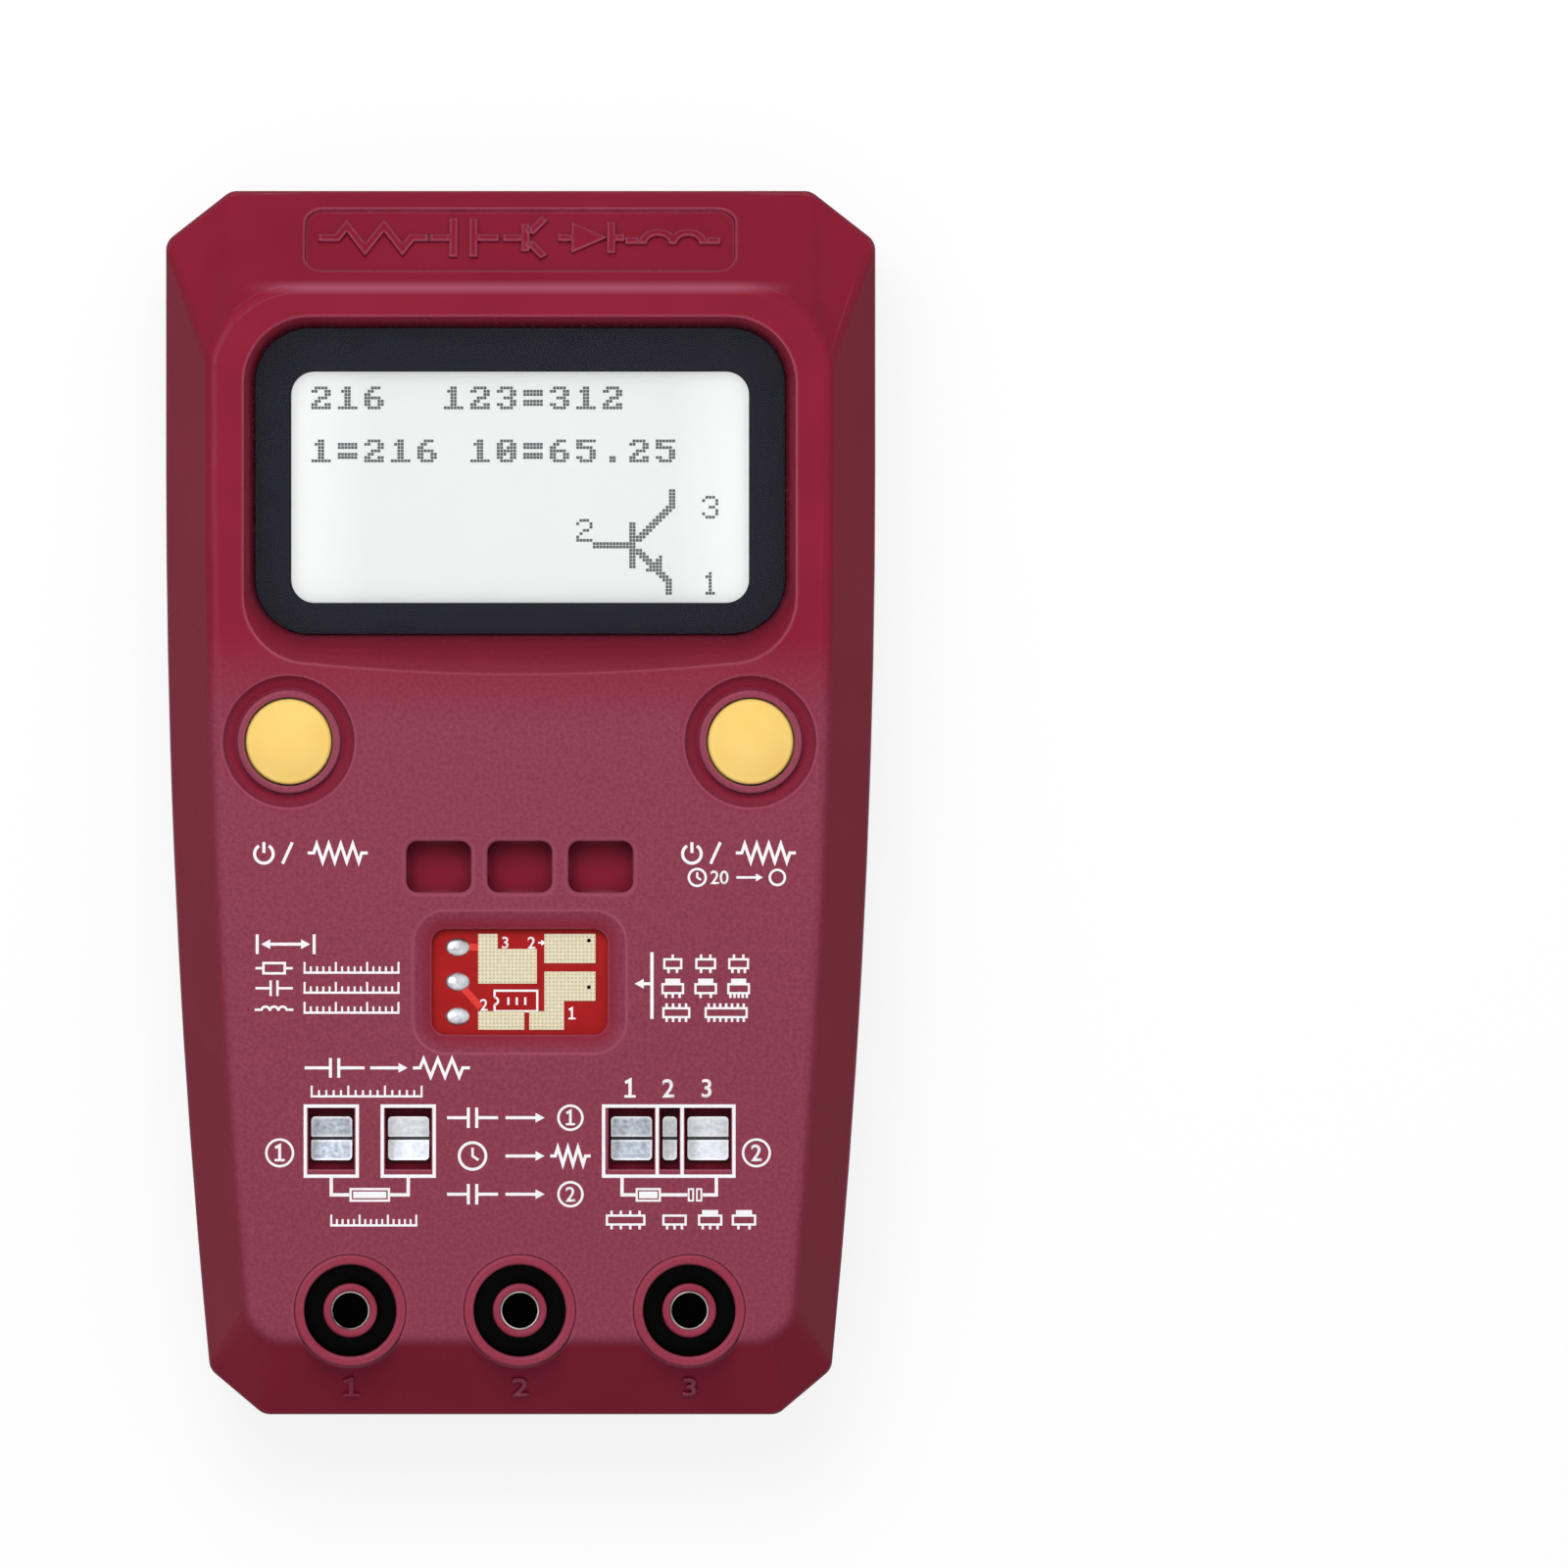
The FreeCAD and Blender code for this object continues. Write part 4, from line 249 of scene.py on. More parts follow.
def displayGlass(look):  # positive LCD: pale silver, faintly clouded, its backlight brighter at the two ends
    material, add = startMaterial("liquidCrystalGlass")
    place = add("ShaderNodeTexCoord", out="Object")
    cloud = add("ShaderNodeTexNoise", {"Vector": place, "Scale": 1 / (look["cloud"] * mm), "Detail": 4.0})
    tone = add("ShaderNodeMix", {0: cloud, 6: linear(look["dark"]), 7: linear(look["light"])}, 2,
               data_type="RGBA")
    x = add("ShaderNodeSeparateXYZ", (place,))
    side = add("ShaderNodeMath", (x,), operation="ABSOLUTE")
    light = add("ShaderNodeMapRange", (side, look["dim"] * mm, look["lit"] * mm, look["middle"],
                                       look["ends"]))
    endMaterial(add, {"Base Color": tone, "Roughness": look["roughness"], "Specular IOR Level": 0.2,
                      "Emission Color": linear(look["glow"]), "Emission Strength": light})
    return material


dress(displayGlass(displayLook), "lcd_glass")

diffuserLook = dict(dark="#e6e8ea", light="#f0f2f3", cloud=8.0, grain=0.4, relief=0.004, roughness=0.4,
                    spread=0.04, edge=0.2)
dress(finish("diffuserPolycarbonate", diffuserLook), "lcd_backlight")   # milky polycarbonate light guide


# metals

tinLook = dict(dark="#b4b5bb", light="#e6e7ea", cloud=0.7, grain=0.3, relief=0.03, roughness=0.42,
               spread=0.06, edge=0.1)
solderTin = finish("solderTin", tinLook, Metallic=1.0)   # tin solder: bright, slightly frosted skin
dress(solderTin, "smd_pins", "lcd_pins")

springLook = dict(dark="#98a2af", light="#d6dce3", cloud=0.55, grain=0.2, relief=0.004, roughness=0.45,
                  spread=0.06, edge=0.5, rim="#ffffff", straight=0.998, bent=0.965, crisp=True)
paintedBrightLook = dict(springLook, dark="#cdd4db", light="#f0f3f5")
springNickel = finish("nickelPlatedBronze", springLook, Metallic=1.0)   # plated strip: mottled, painted highlights on the edges
dress(springNickel, "discharge_contact_left", "test_contact_1")
springNickelPaintedBright = finish("nickelPlatedBronzePaintedBright", paintedBrightLook, Metallic=1.0)   # painted reflection: the same strip drawn brighter
dress(springNickelPaintedBright, "discharge_contact_right", "test_contact_2", "test_contact_3")

barrelLook = dict(dark="#1f1d1c", light="#d2cfc8", cloud=3.2, grain=0.2, relief=0.006, roughness=0.25,
                  spread=0.06, edge=0.1, well=1.9, mouth=0.95, deep="#050505")
barrelNickel = finish("nickelPlatedBrass", barrelLook, Metallic=1.0)   # turned, plated: warm, painted glints in random patches, painted shade inside
dress(barrelNickel, "jack_contact_1", "jack_contact_2", "jack_contact_3")

padLook = dict(dark="#dcd2b0", light="#e9e0c5", cloud=0.5, grain=0.25, relief=0.01, roughness=0.5,
               spread=0.08, edge=0.03, weave=0.42, dotSpan=(0.45, 0.2), thread="#bdb189")   # thread spacing
dress(finish("tinnedCopperPads", padLook), "smd_pads")   # matt immersion tin: cream, the cloth shows through

screwLook = dict(dark="#8f9296", light="#a8abae", cloud=1.5, grain=0.2, relief=0.008, roughness=0.35,
                 spread=0.08, edge=0.1)
screwZinc = finish("zincPlatedSteel", screwLook, Metallic=1.0)   # zinc plate: grey, satin
dress(screwZinc, "case_screws", "board_screws")

canLook = dict(dark="#b5b8bb", light="#c8cbce", cloud=3.0, grain=0.25, relief=0.004, roughness=0.28,
               spread=0.05, edge=0.15)
canSilver = finish("drawnNickelSilver", canLook, Metallic=1.0)   # drawn sheet: bright satin
dress(canSilver, "crystal", "battery_terminals")


# boards and small parts

maskRedLook = dict(dark="#9f1a1b", light="#a81f1e", cloud=3.0, grain=0.5, relief=0.006, roughness=0.3,
                   spread=0.05, edge=0.08)
lacquered = {"Specular IOR Level": 0.06}   # hardly shines in soft light
boardRed = finish("solderMaskRed", maskRedLook, **lacquered)   # lacquered laminate: clear red
dress(boardRed, "smd_board", "main_board")

blackLook = dict(dark="#1b1b1d", light="#232326", cloud=4.0, grain=0.3, relief=0.012, roughness=0.5,
                 spread=0.08, edge=0.12)
dress(finish("mouldedEpoxyBlack", blackLook), "microcontroller", "regulator")   # epoxy: dull black
nylonBlack = finish("mouldedNylonBlack", dict(blackLook, roughness=0.42))       # nylon: black, slightly waxy
dress(nylonBlack, "switch_body_left", "switch_body_right", "switch_stem_left", "switch_stem_right",
      "battery_snap")

lacquerLook = dict(dark="#4b86a8", light="#5893b4", cloud=2.0, grain=0.4, relief=0.01, roughness=0.4,
                   spread=0.05, edge=0.1)
dress(finish("resistorLacquer", lacquerLook), "discharge_resistor")   # dipped lacquer: blue, uneven skin

sleeveLook = dict(dark="#20242c", light="#272c35", cloud=3.0, grain=0.5, relief=0.004, roughness=0.3,
                  spread=0.04, edge=0.15)
dress(finish("shrunkPvcSleeve", sleeveLook), "filter_capacitor")   # heat-shrunk PVC: smooth dark film

batteryLook = dict(dark="#2b2d31", light="#33363b", cloud=9.0, grain=0.8, relief=0.004, roughness=0.32,
                   spread=0.06, edge=0.4)
dress(finish("lacqueredSteelJacket", batteryLook), "battery")   # lacquered tinplate: dark, satin

leadRedLook = dict(dark="#b3191d", light="#c42226", cloud=3.0, grain=0.4, relief=0.004, roughness=0.38,
                   spread=0.05, edge=0.1)
leadBlackLook = dict(leadRedLook, dark="#17171a", light="#1f1f22")
dress(finish("flexiblePvcRed", leadRedLook), "snap_lead_red")         # plasticised PVC: red, soft gloss
dress(finish("flexiblePvcBlack", leadBlackLook), "snap_lead_black")   # the same, black
print("finishes:", len(bpy.data.materials), "materials")


# pieces

def addPiece(name, bm, material, body="housing"):   # a finished mesh that rides on a body of the frame
    mesh = bpy.data.meshes.new(name)
    bm.to_mesh(mesh)
    bm.free()
    mesh.materials.append(material)
    piece = bpy.data.objects.new(name, mesh)
    bpy.context.scene.collection.objects.link(piece)
    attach(piece, body)
    return piece


def middle(name):        # middle of a node in mm
    low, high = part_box(name)
    return (low + high) / 2 / mm


def printMask():         # ink on the back of the lens, lifted a little into it so that no two faces coincide
    bm = bmesh.new()
    bm.from_mesh(nodes["window_mask"].data)
    bmesh.ops.remove_doubles(bm, verts=bm.verts, dist=1e-6)
    bmesh.ops.translate(bm, vec=(0, 0, maskLook["lift"] * mm), verts=bm.verts)
    piece = addPiece("mask_print", bm, maskBlack)
    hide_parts("window_mask")


printMask()
print("mask printed")


# a pen that draws flat in mm

def penLine(bm, points, width, closed=False):   # even width, mitred corners
    spots = [Vector(point) for point in points]
    last = len(spots) - 1
    sides = []
    for i, spot in enumerate(spots):
        runs = []
        if i or closed:
            runs.append((spot - spots[i - 1]).normalized())
        if i < last or closed:
            runs.append((spots[(i + 1) % len(spots)] - spot).normalized())
        along = sum(runs, Vector((0, 0))).normalized()
        across = Vector((-along.y, along.x))
        reach = width / 2 / across.dot(Vector((-runs[-1].y, runs[-1].x)))
        sides.append([bm.verts.new((*(spot + across * reach * side), 0)) for side in (1, -1)])
    for (a, b), (c, d) in zip(sides, sides[1:] + (sides[:1] if closed else [])):
        bm.faces.new((a, b, d, c))


def penFill(bm, points):
    bm.faces.new([bm.verts.new((x, y, 0)) for x, y in points])


def turn(x, y, radius, degrees):   # a point on a circle
    angle = math.radians(degrees)
    return x + radius * math.cos(angle), y + radius * math.sin(angle)


def penArc(bm, x, y, radius, start, end, width, steps=24):
    penLine(bm, [turn(x, y, radius, start + (end - start) * i / steps) for i in range(steps + 1)], width)


def penRing(bm, x, y, radius, width, steps=48):
    penLine(bm, [turn(x, y, radius, 360 * i / steps) for i in range(steps)], width, closed=True)


def penDot(bm, x, y, radius, steps=20):
    penFill(bm, [turn(x, y, radius, 360 * i / steps) for i in range(steps)])


def boxCorners(x, y, length, height):   # of a box round its middle
    left, right, low, high = x - length / 2, x + length / 2, y - height / 2, y + height / 2
    return [(left, low), (right, low), (right, high), (left, high)]


def penSlab(bm, x, y, length, height):
    penFill(bm, boxCorners(x, y, length, height))


def penBox(bm, x, y, length, height, width):
    penLine(bm, boxCorners(x, y, length, height), width, closed=True)


def penArrow(bm, x, y, length, width, head=3.0, barb=1.6):   # to +X, or to -X where the length is negative
    neck = x + length - math.copysign(head * width, length)
    penLine(bm, [(x, y), (neck, y)], width)
    tip = [(neck, y - barb * width), (x + length, y), (neck, y + barb * width)]
    penFill(bm, tip if length > 0 else tip[::-1])


def penOne(bm, x, y, height, stem=0.17, flag=(-0.26, 0.3), top=0.44, low=-0.36, foot=(-0.43, 0.6, 0.14)):
    stroke = [(x + flag[0] * height, y + flag[1] * height), (x, y + top * height), (x, y + low * height)]
    penLine(bm, stroke, stem * height)   # a one with a flag and a foot, in shares of its height
    penSlab(bm, x, y + foot[0] * height, foot[1] * height, foot[2] * height)


def penNumber(bm, digits, x, y, height, bold=0.016):   # plain numerals, centred
    if digits == "1":
        penOne(bm, x, y, height)
        return
    curve = bpy.data.curves.new("numeral", "FONT")
    curve.body = digits
    curve.offset = bold
    holder = bpy.data.objects.new("numeral", curve)
    bpy.context.scene.collection.objects.link(holder)
    graph = bpy.context.evaluated_depsgraph_get()
    mesh = bpy.data.meshes.new_from_object(holder.evaluated_get(graph))
    bpy.data.objects.remove(holder)
    low = Vector([min(v.co[i] for v in mesh.vertices) for i in range(3)])
    high = Vector([max(v.co[i] for v in mesh.vertices) for i in range(3)])
    scale = height / (high.y - low.y)
    mesh.transform(Matrix.Translation((x, y, 0)) @ Matrix.Diagonal((scale, scale, scale, 1))
                   @ Matrix.Translation(-(low + high) / 2))
    bm.from_mesh(mesh)
    bpy.data.meshes.remove(mesh)


def thicken(bm, thickness):   # flat drawing to a film or a relief
    bmesh.ops.remove_doubles(bm, verts=bm.verts, dist=1e-5)
    top = bmesh.ops.extrude_face_region(bm, geom=bm.faces[:])
    raised = [v for v in top["geom"] if isinstance(v, bmesh.types.BMVert)]
    bmesh.ops.translate(bm, vec=(0, 0, thickness), verts=raised)
    bmesh.ops.recalc_face_normals(bm, faces=bm.faces)


def inkPiece(name, bm, material, base, thickness):   # a film or a plate on a level surface
    thicken(bm, thickness)
    bm.transform(Matrix.Translation((0, 0, base)) @ Matrix.Diagonal((mm, mm, mm, 1)))
    return addPiece(name, bm, material)


def reliefPiece(name, drawings, thickness, above=60):   # moulded on slopes of the cover
    graph = bpy.context.evaluated_depsgraph_get()
    cover = nodes["front_cover"].evaluated_get(graph)
    joined = bmesh.new()
    for (x, y), bm in drawings:
        point, normal = cover.ray_cast(Vector((x, y, above)) * mm, Vector((0, 0, -1)))[1:3]
        thicken(bm, thickness)
        tilt = Vector((0, 0, 1)).rotation_difference(normal).to_matrix().to_4x4()
        bm.transform(Matrix.Translation(point) @ tilt @ Matrix.Diagonal((mm, mm, mm, 1)))
        mesh = bpy.data.meshes.new("relief")
        bm.to_mesh(mesh)
        bm.free()
        joined.from_mesh(mesh)
        bpy.data.meshes.remove(mesh)
    addPiece(name, joined, caseRed)


# signs of the trade, drawn by size

def partSign(bm, x, y, length, height, width, inset=2.2):   # a box round a filled core
    penBox(bm, x, y, length, height, width)
    penSlab(bm, x, y, length - inset * width, height - inset * width)


def capacitorSign(bm, x, y, gap, height, lead, width):
    for side in (-1, 1):
        plate = x + side * (gap + width) / 2
        penLine(bm, [(plate, y - height / 2), (plate, y + height / 2)], width)
        penLine(bm, [(plate + side * width / 2, y), (plate + side * lead, y)], width)


def coilSign(bm, x, y, radius, turns, lead, width, steps=14):   # humps in one outline, over then back under
    over, under = radius + width / 2, radius - width / 2
    meet = math.degrees(math.acos(radius / over))   # where two humps cross
    middles = [x + radius * (2 * i + 1 - turns) for i in range(turns)]
    points = []
    for i, spot in enumerate(middles):
        start, end = (180 - meet if i else 180), (meet if i < turns - 1 else 0)
        points += [turn(spot, y, over, start + (end - start) * k / steps) for k in range(steps + 1)]
    for spot in reversed(middles):
        points += [turn(spot, y, under, 180 * k / steps) for k in range(steps + 1)]
    penFill(bm, points)
    for side in (-1, 1):
        foot = x + side * (radius * turns + width / 2)
        penLine(bm, [(foot, y + width / 2), (foot + side * lead, y + width / 2)], width)


def zigzagSign(bm, x, y, length, height, width, teeth=6):
    step, left, right = length / (2 * teeth), x - length / 2, x + length / 2
    points = [(left - 2 * step, y), (left, y)]
    points += [(left + step * (2 * i + 1), y + height / 2 * (1 if i % 2 == 0 else -1)) for i in range(teeth)]
    penLine(bm, points + [(right, y), (right + 2 * step, y)], width)


def diodeSign(bm, x, y, height, lead, width):
    half = height / 2
    penFill(bm, [(x - half, y - half), (x + half - width / 2, y), (x - half, y + half)])
    penLine(bm, [(x + half, y - half), (x + half, y + half)], width)
    penLine(bm, [(x - half - lead, y), (x - half, y)], width)
    penLine(bm, [(x + half + width / 2, y), (x + half + lead, y)], width)


def transistorSign(bm, x, y, height, width, bar=0.7, base=0.9, root=0.25, leg=0.75):
    half = height / 2    # the other sizes are shares of it
    penLine(bm, [(x, y - bar * half), (x, y + bar * half)], width)
    penLine(bm, [(x - base * half, y), (x - width / 2, y)], width)
    for side in (-1, 1):
        penLine(bm, [(x + width / 2, y + side * root * half), (x + leg * half, y + side * half)], width)


def powerSign(bm, x, y, radius, width, start=122, end=418, low=0.1, high=1.25):   # a stroke in a ring
    penArc(bm, x, y, radius, start, end, width)
    penLine(bm, [(x, y + low * radius), (x, y + high * radius)], width)


def clockSign(bm, x, y, radius, width, longHand=0.62, shortHand=(0.45, -0.3), thin=0.85):
    penRing(bm, x, y, radius, width)
    penLine(bm, [(x, y + longHand * radius), (x, y), (x + shortHand[0] * radius, y + shortHand[1] * radius)],
            width * thin)


def packageSign(bm, x, y, length, height, upper, lower, width, tab=0.0, leg=0.42, legWide=1.1, tabHigh=0.5):
    penBox(bm, x, y, length, height, width)
    for count, side in ((upper, 1), (lower, -1)):   # legs above and below
        edge = y + side * (height + width) / 2
        for i in range(count):
            spot = x - length / 2 + length * (i + 0.5) / count
            penLine(bm, [(spot, edge), (spot, edge + side * leg)], width * legWide)
    if tab:
        penSlab(bm, x, y + (height + width + tabHigh) / 2, tab, tabHigh)


def scaleSign(bm, x, y, length, width=0.25, ticks=15, drop=0.5, long=0.7, short=0.2, thin=0.9):   # ruled
    penLine(bm, [(x, y - drop), (x + length, y - drop)], width)
    for i in range(ticks + 1):
        spot = x + width / 2 + (length - width) * i / ticks
        penLine(bm, [(spot, y - drop + width / 2), (spot, y + (long if i % 5 == 0 else short))], width * thin)


# printed marks of the panel: places in mm from the middle of the case, then sizes

panelInk = dict(line=0.38, sign=0.34, fine=0.27, thickness=0.03, digit=2.1)
inkLook = dict(dark="#efedf0", light="#f8f7f9", cloud=0.8, grain=0.2, relief=0.004, roughness=0.45,
               spread=0.05, edge=0.01)
inkWhite = finish("screenInkWhite", inkLook)   # screen-printed ink: opaque white film, faintly uneven

portInk = dict(side=2.92, up=3.66, down=4.22, extra=0.2, web=1.4,   # frames, from the contacts
               wireDrop=2.1, signHeight=1.3, load=(4.3, 0.26), loadWire=2.3,   # signs: length, stroke
               resistorIn=1.9, resistor=(2.6, 0.24), resistorWire=1.42, platesIn=2.85, plateStep=0.46,
               plate=(0.5, 0.2), platesWire=0.85, firstWire=-1.05, lastWire=0.95, numberUp=5.65,
               numberIn=-0.15, ringOne=-5.8, ringTwo=5.45, ringDrop=1.6, ringRadius=1.5, ringDigit=1.89)


def portMarks(bm):       # a frame round each port, its circuit below and its numerals
    ink, line = portInk, panelInk["line"]
    portOne = [middle("discharge_contact_left"), middle("discharge_contact_right")]
    portTwo = [middle(f"test_contact_{i}") for i in (1, 2, 3)]
    row = portOne[0].y
    top, bottom = row + ink["up"], row - ink["down"]
    wire, start = bottom - ink["wireDrop"], bottom - line / 2
    frames = [(spot.x - ink["side"], spot.x + ink["side"]) for spot in portOne]
    frames.append((portTwo[0].x - ink["side"] - ink["extra"], portTwo[2].x + ink["side"]))
    for left, right in frames:
        penBox(bm, (left + right) / 2, (bottom + top) / 2, right - left, top - bottom, line)
    for way in (-1, 1):  # between the windows
        web = portTwo[1].x + way * ink["web"]
        penLine(bm, [(web, bottom + line / 2), (web, top - line / 2)], line)
    x = (portOne[0].x + portOne[1].x) / 2
    for spot, way in ((portOne[0].x, -1), (portOne[1].x, 1)):
        penLine(bm, [(spot, start), (spot, wire), (x + way * ink["loadWire"], wire)], line)
    partSign(bm, x, wire, ink["load"][0], ink["signHeight"], ink["load"][1])
    resistor, plates = portTwo[0].x + ink["resistorIn"], portTwo[1].x + ink["platesIn"]
    first, last = portTwo[0].x + ink["firstWire"], portTwo[2].x + ink["lastWire"]
    penLine(bm, [(first, start), (first, wire), (resistor - ink["resistorWire"], wire)], line)
    penLine(bm, [(resistor + ink["resistorWire"], wire), (plates - ink["platesWire"], wire)], line)
    penLine(bm, [(plates + ink["platesWire"], wire), (last, wire), (last, start)], line)
    partSign(bm, resistor, wire, ink["resistor"][0], ink["signHeight"], ink["resistor"][1])
    for way in (-1, 1):
        penBox(bm, plates + way * ink["plateStep"], wire, ink["plate"][0], ink["signHeight"], ink["plate"][1])
    for number, spot in zip("123", portTwo):
        penNumber(bm, number, spot.x + ink["numberIn"], row + ink["numberUp"], panelInk["digit"])
    for number, x in (("1", portOne[0].x + ink["ringOne"]), ("2", portTwo[2].x + ink["ringTwo"])):
        penRing(bm, x, row - ink["ringDrop"], ink["ringRadius"], panelInk["fine"])
        penNumber(bm, number, x, row - ink["ringDrop"], ink["ringDigit"])


keyInk = dict(leftIn=2.4, rightIn=-1.4, row=-5.65, timerRow=-8.4,   # middles of the rows, from the keys
              power=(-5.2, -0.1, 1.05), slash=((-3.1, -1.2), (-2.0, 1.2)), test=(3.1, 5.4, 2.0, 8),
              clock=(-4.6, 0.95), seconds=(-2.1, 1.55), arrow=(-0.2, 3.0), ring=(4.4, 0.85))


def keyMarks(bm):        # under the keys: power and test, and the timed switch-off
    ink, sign, fine = keyInk, panelInk["sign"], panelInk["fine"]
    y = ink["row"]
    left, right = middle("button_cap_left").x + ink["leftIn"], middle("button_cap_right").x + ink["rightIn"]
    for x in (left, right):
        across, up, radius = ink["power"]
        powerSign(bm, x + across, y + up, radius, sign)
        penLine(bm, [(x + across, y + up) for across, up in ink["slash"]], sign)
        across, length, height, teeth = ink["test"]
        zigzagSign(bm, x + across, y, length, height, sign, teeth)
    y = ink["timerRow"]  # under the right key alone
    clockSign(bm, right + ink["clock"][0], y, ink["clock"][1], fine)
    penNumber(bm, "20", right + ink["seconds"][0], y, ink["seconds"][1])
    penArrow(bm, right + ink["arrow"][0], y, ink["arrow"][1], fine)
    penRing(bm, right + ink["ring"][0], y, ink["ring"][1], fine)


rangeInk = dict(ends=(-29.5, -23.1), endLow=-17.0, endHigh=-14.8, arrows=(-26.3, -15.9, 2.75), signs=-27.6,
                resistor=(-18.6, 2.4, 1.15), leads=(1.33, 2.1), capacitor=(-20.85, 0.5, 1.75, 1.72),
                coil=(-23.4, 0.48, 3, 0.6), scaleRows=(-18.6, -20.85, -23.1), scaleLeft=-24.3,
                scaleLength=10.8)


def rangeMarks(bm):      # what can be measured: a range, then resistor, capacitor and coil with plain scales
    ink, sign, fine, x = rangeInk, panelInk["sign"], panelInk["fine"], rangeInk["signs"]
    for end in ink["ends"]:
        penLine(bm, [(end, ink["endLow"]), (end, ink["endHigh"])], sign)
    across, up, length = ink["arrows"]
    for way in (-1, 1):
        penArrow(bm, across, up, way * length, sign)
    row, length, height = ink["resistor"]
    penBox(bm, x, row, length, height, fine)
    for way in (-1, 1):
        penLine(bm, [(x + way * reach, row) for reach in ink["leads"]], fine)
    capacitorSign(bm, x, *ink["capacitor"], fine)
    coilSign(bm, x, *ink["coil"], fine)
    for y in ink["scaleRows"]:
        scaleSign(bm, ink["scaleLeft"], y, ink["scaleLength"])


packageInk = dict(bar=14.86, barLow=-24.3, barHigh=-16.8, arrow=(14.67, -20.35, -1.75), height=1.0, line=0.25)
packageRows = {-18.1: ((17.2, 1.9, 1, 2, 0), (20.9, 2.1, 2, 2, 0), (24.6, 2.1, 2, 3, 0)),
               -20.9: ((17.2, 2.3, 0, 3, 1.7), (20.9, 2.3, 0, 2, 1.7), (24.6, 2.3, 0, 5, 1.7)),
               -23.6: ((17.6, 2.9, 4, 4, 0), (23.2, 4.6, 7, 7, 0)),   # middle, length, legs, tab
               -46.9: ((11.9, 4.2, 4, 4, 0), (17.4, 2.5, 0, 3, 0), (21.4, 2.5, 0, 3, 1.8),
                       (25.2, 2.5, 0, 2, 1.8))}


def packageMarks(bm):    # flat packages for the small board, cased parts for port 2
    ink = packageInk
    penLine(bm, [(ink["bar"], ink["barLow"]), (ink["bar"], ink["barHigh"])], panelInk["line"])
    penArrow(bm, *ink["arrow"], panelInk["sign"])
    for y, packages in packageRows.items():
        for x, length, upper, lower, tab in packages:
            packageSign(bm, x, y, length, ink["height"], upper, lower, ink["line"], tab)


stepInk = dict(signs=-5.3, arrows=-1.6, arrowLength=4.4, ends=5.7, rows=((-35.4, "1"), (-44.0, "2")),
               waitRow=-39.7, capacitor=(0.6, 2.3, 2.4), ringRadius=1.35, digit=1.7, clock=(1.5, 0.32),
               discharge=(3.4, 1.9), upperRow=-29.8, upperCapacitor=(-20.8, 0.6, 2.2, 2.9),
               upperArrow=(-16.8, 4.2), upperResistor=(-8.8, 4.8, 2.0),
               scales=((-23.5, -32.5, 12.6), (-21.3, -47.0, 9.8)))


def stepMarks(bm):       # between the ports: discharge at port 1, wait, test at port 2
    ink, sign, fine = stepInk, panelInk["sign"], panelInk["fine"]
    for y, number in ink["rows"]:
        capacitorSign(bm, ink["signs"], y, *ink["capacitor"], sign)
        penArrow(bm, ink["arrows"], y, ink["arrowLength"], sign)
        penRing(bm, ink["ends"], y, ink["ringRadius"], fine)
        penNumber(bm, number, ink["ends"], y, ink["digit"])
    y = ink["waitRow"]
    clockSign(bm, ink["signs"], y, *ink["clock"])
    penArrow(bm, ink["arrows"], y, ink["arrowLength"], sign)
    zigzagSign(bm, ink["ends"], y, *ink["discharge"], sign)
    y = ink["upperRow"]  # over port 1
    capacitorSign(bm, ink["upperCapacitor"][0], y, *ink["upperCapacitor"][1:], sign)
    penArrow(bm, ink["upperArrow"][0], y, ink["upperArrow"][1], sign)
    zigzagSign(bm, ink["upperResistor"][0], y, *ink["upperResistor"][1:], sign)
    for scale in ink["scales"]:   # over and under port 1
        scaleSign(bm, *scale)


def panelMarks():
    bm = bmesh.new()
    for drawMarks in (portMarks, keyMarks, rangeMarks, packageMarks, stepMarks):
        drawMarks(bm)
    inkPiece("panel_marks", bm, inkWhite, face, panelInk["thickness"])


panelMarks()
print("panel marks drawn")


# floors of the ports, where the leaves of the contacts come up through slots

portFloor = dict(depth=3.3, thickness=0.5, half=3.53, slot=0.85,
                 side=0.38, room=0.1)   # outer and inner edge past the sides of a contact


def portFloors():
    bm = bmesh.new()
    for name in ("discharge_contact_left", "discharge_contact_right", "test_contact_1", "test_contact_2",
                 "test_contact_3"):
        low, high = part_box(name)
        spot, half = middle(name), (high.x - low.x) / 2 / mm
        rings = []
        for across, along in ((half + portFloor["side"], portFloor["half"]),
                              (half + portFloor["room"], portFloor["slot"])):
            corners = ((-across, -along), (across, -along), (across, along), (-across, along))
            rings.append([bm.verts.new((spot.x + i, spot.y + j, 0)) for i, j in corners])
        for i in range(4):
            k = (i + 1) % 4
            bm.faces.new((rings[0][i], rings[0][k], rings[1][k], rings[1][i]))
    base = face - (portFloor["depth"] + portFloor["thickness"]) * mm
    piece = inkPiece("port_floors", bm, frontRed, base, portFloor["thickness"])


portFloors()
print("port floors laid")


# the small board: traces under the lacquer, printed marks, painted shade of holes in two pads

boardInk = dict(line=0.24, thickness=0.02, digit=1.35, left=-2.85, right=1.95, top=-21.15, bottom=-23.45,
                notchTop=-21.9, notchBottom=-22.7, notchRadius=0.4, notchMiddle=-22.3,
                strokes=3, strokeLeft=-1.3, strokeStep=0.95, strokeLow=-22.75, strokeHigh=-21.9,
                numbers=(("3", -1.65, -15.75), ("2", 1.3, -15.75), ("2", -4.05, -22.75), ("1", 5.85, -23.7)),
                arrow=(2.05, -15.75, 0.95, 0.2))
boardRun = dict(width=0.8, thickness=0.012, up=3.9, slant=(2.6, -2.9))   # from the pins
padHole = dict(radius=0.22, thickness=0.01, inset=0.75, lower=-20.75)
traceLook = dict(maskRedLook, dark="#d8332f", light="#e64a44")
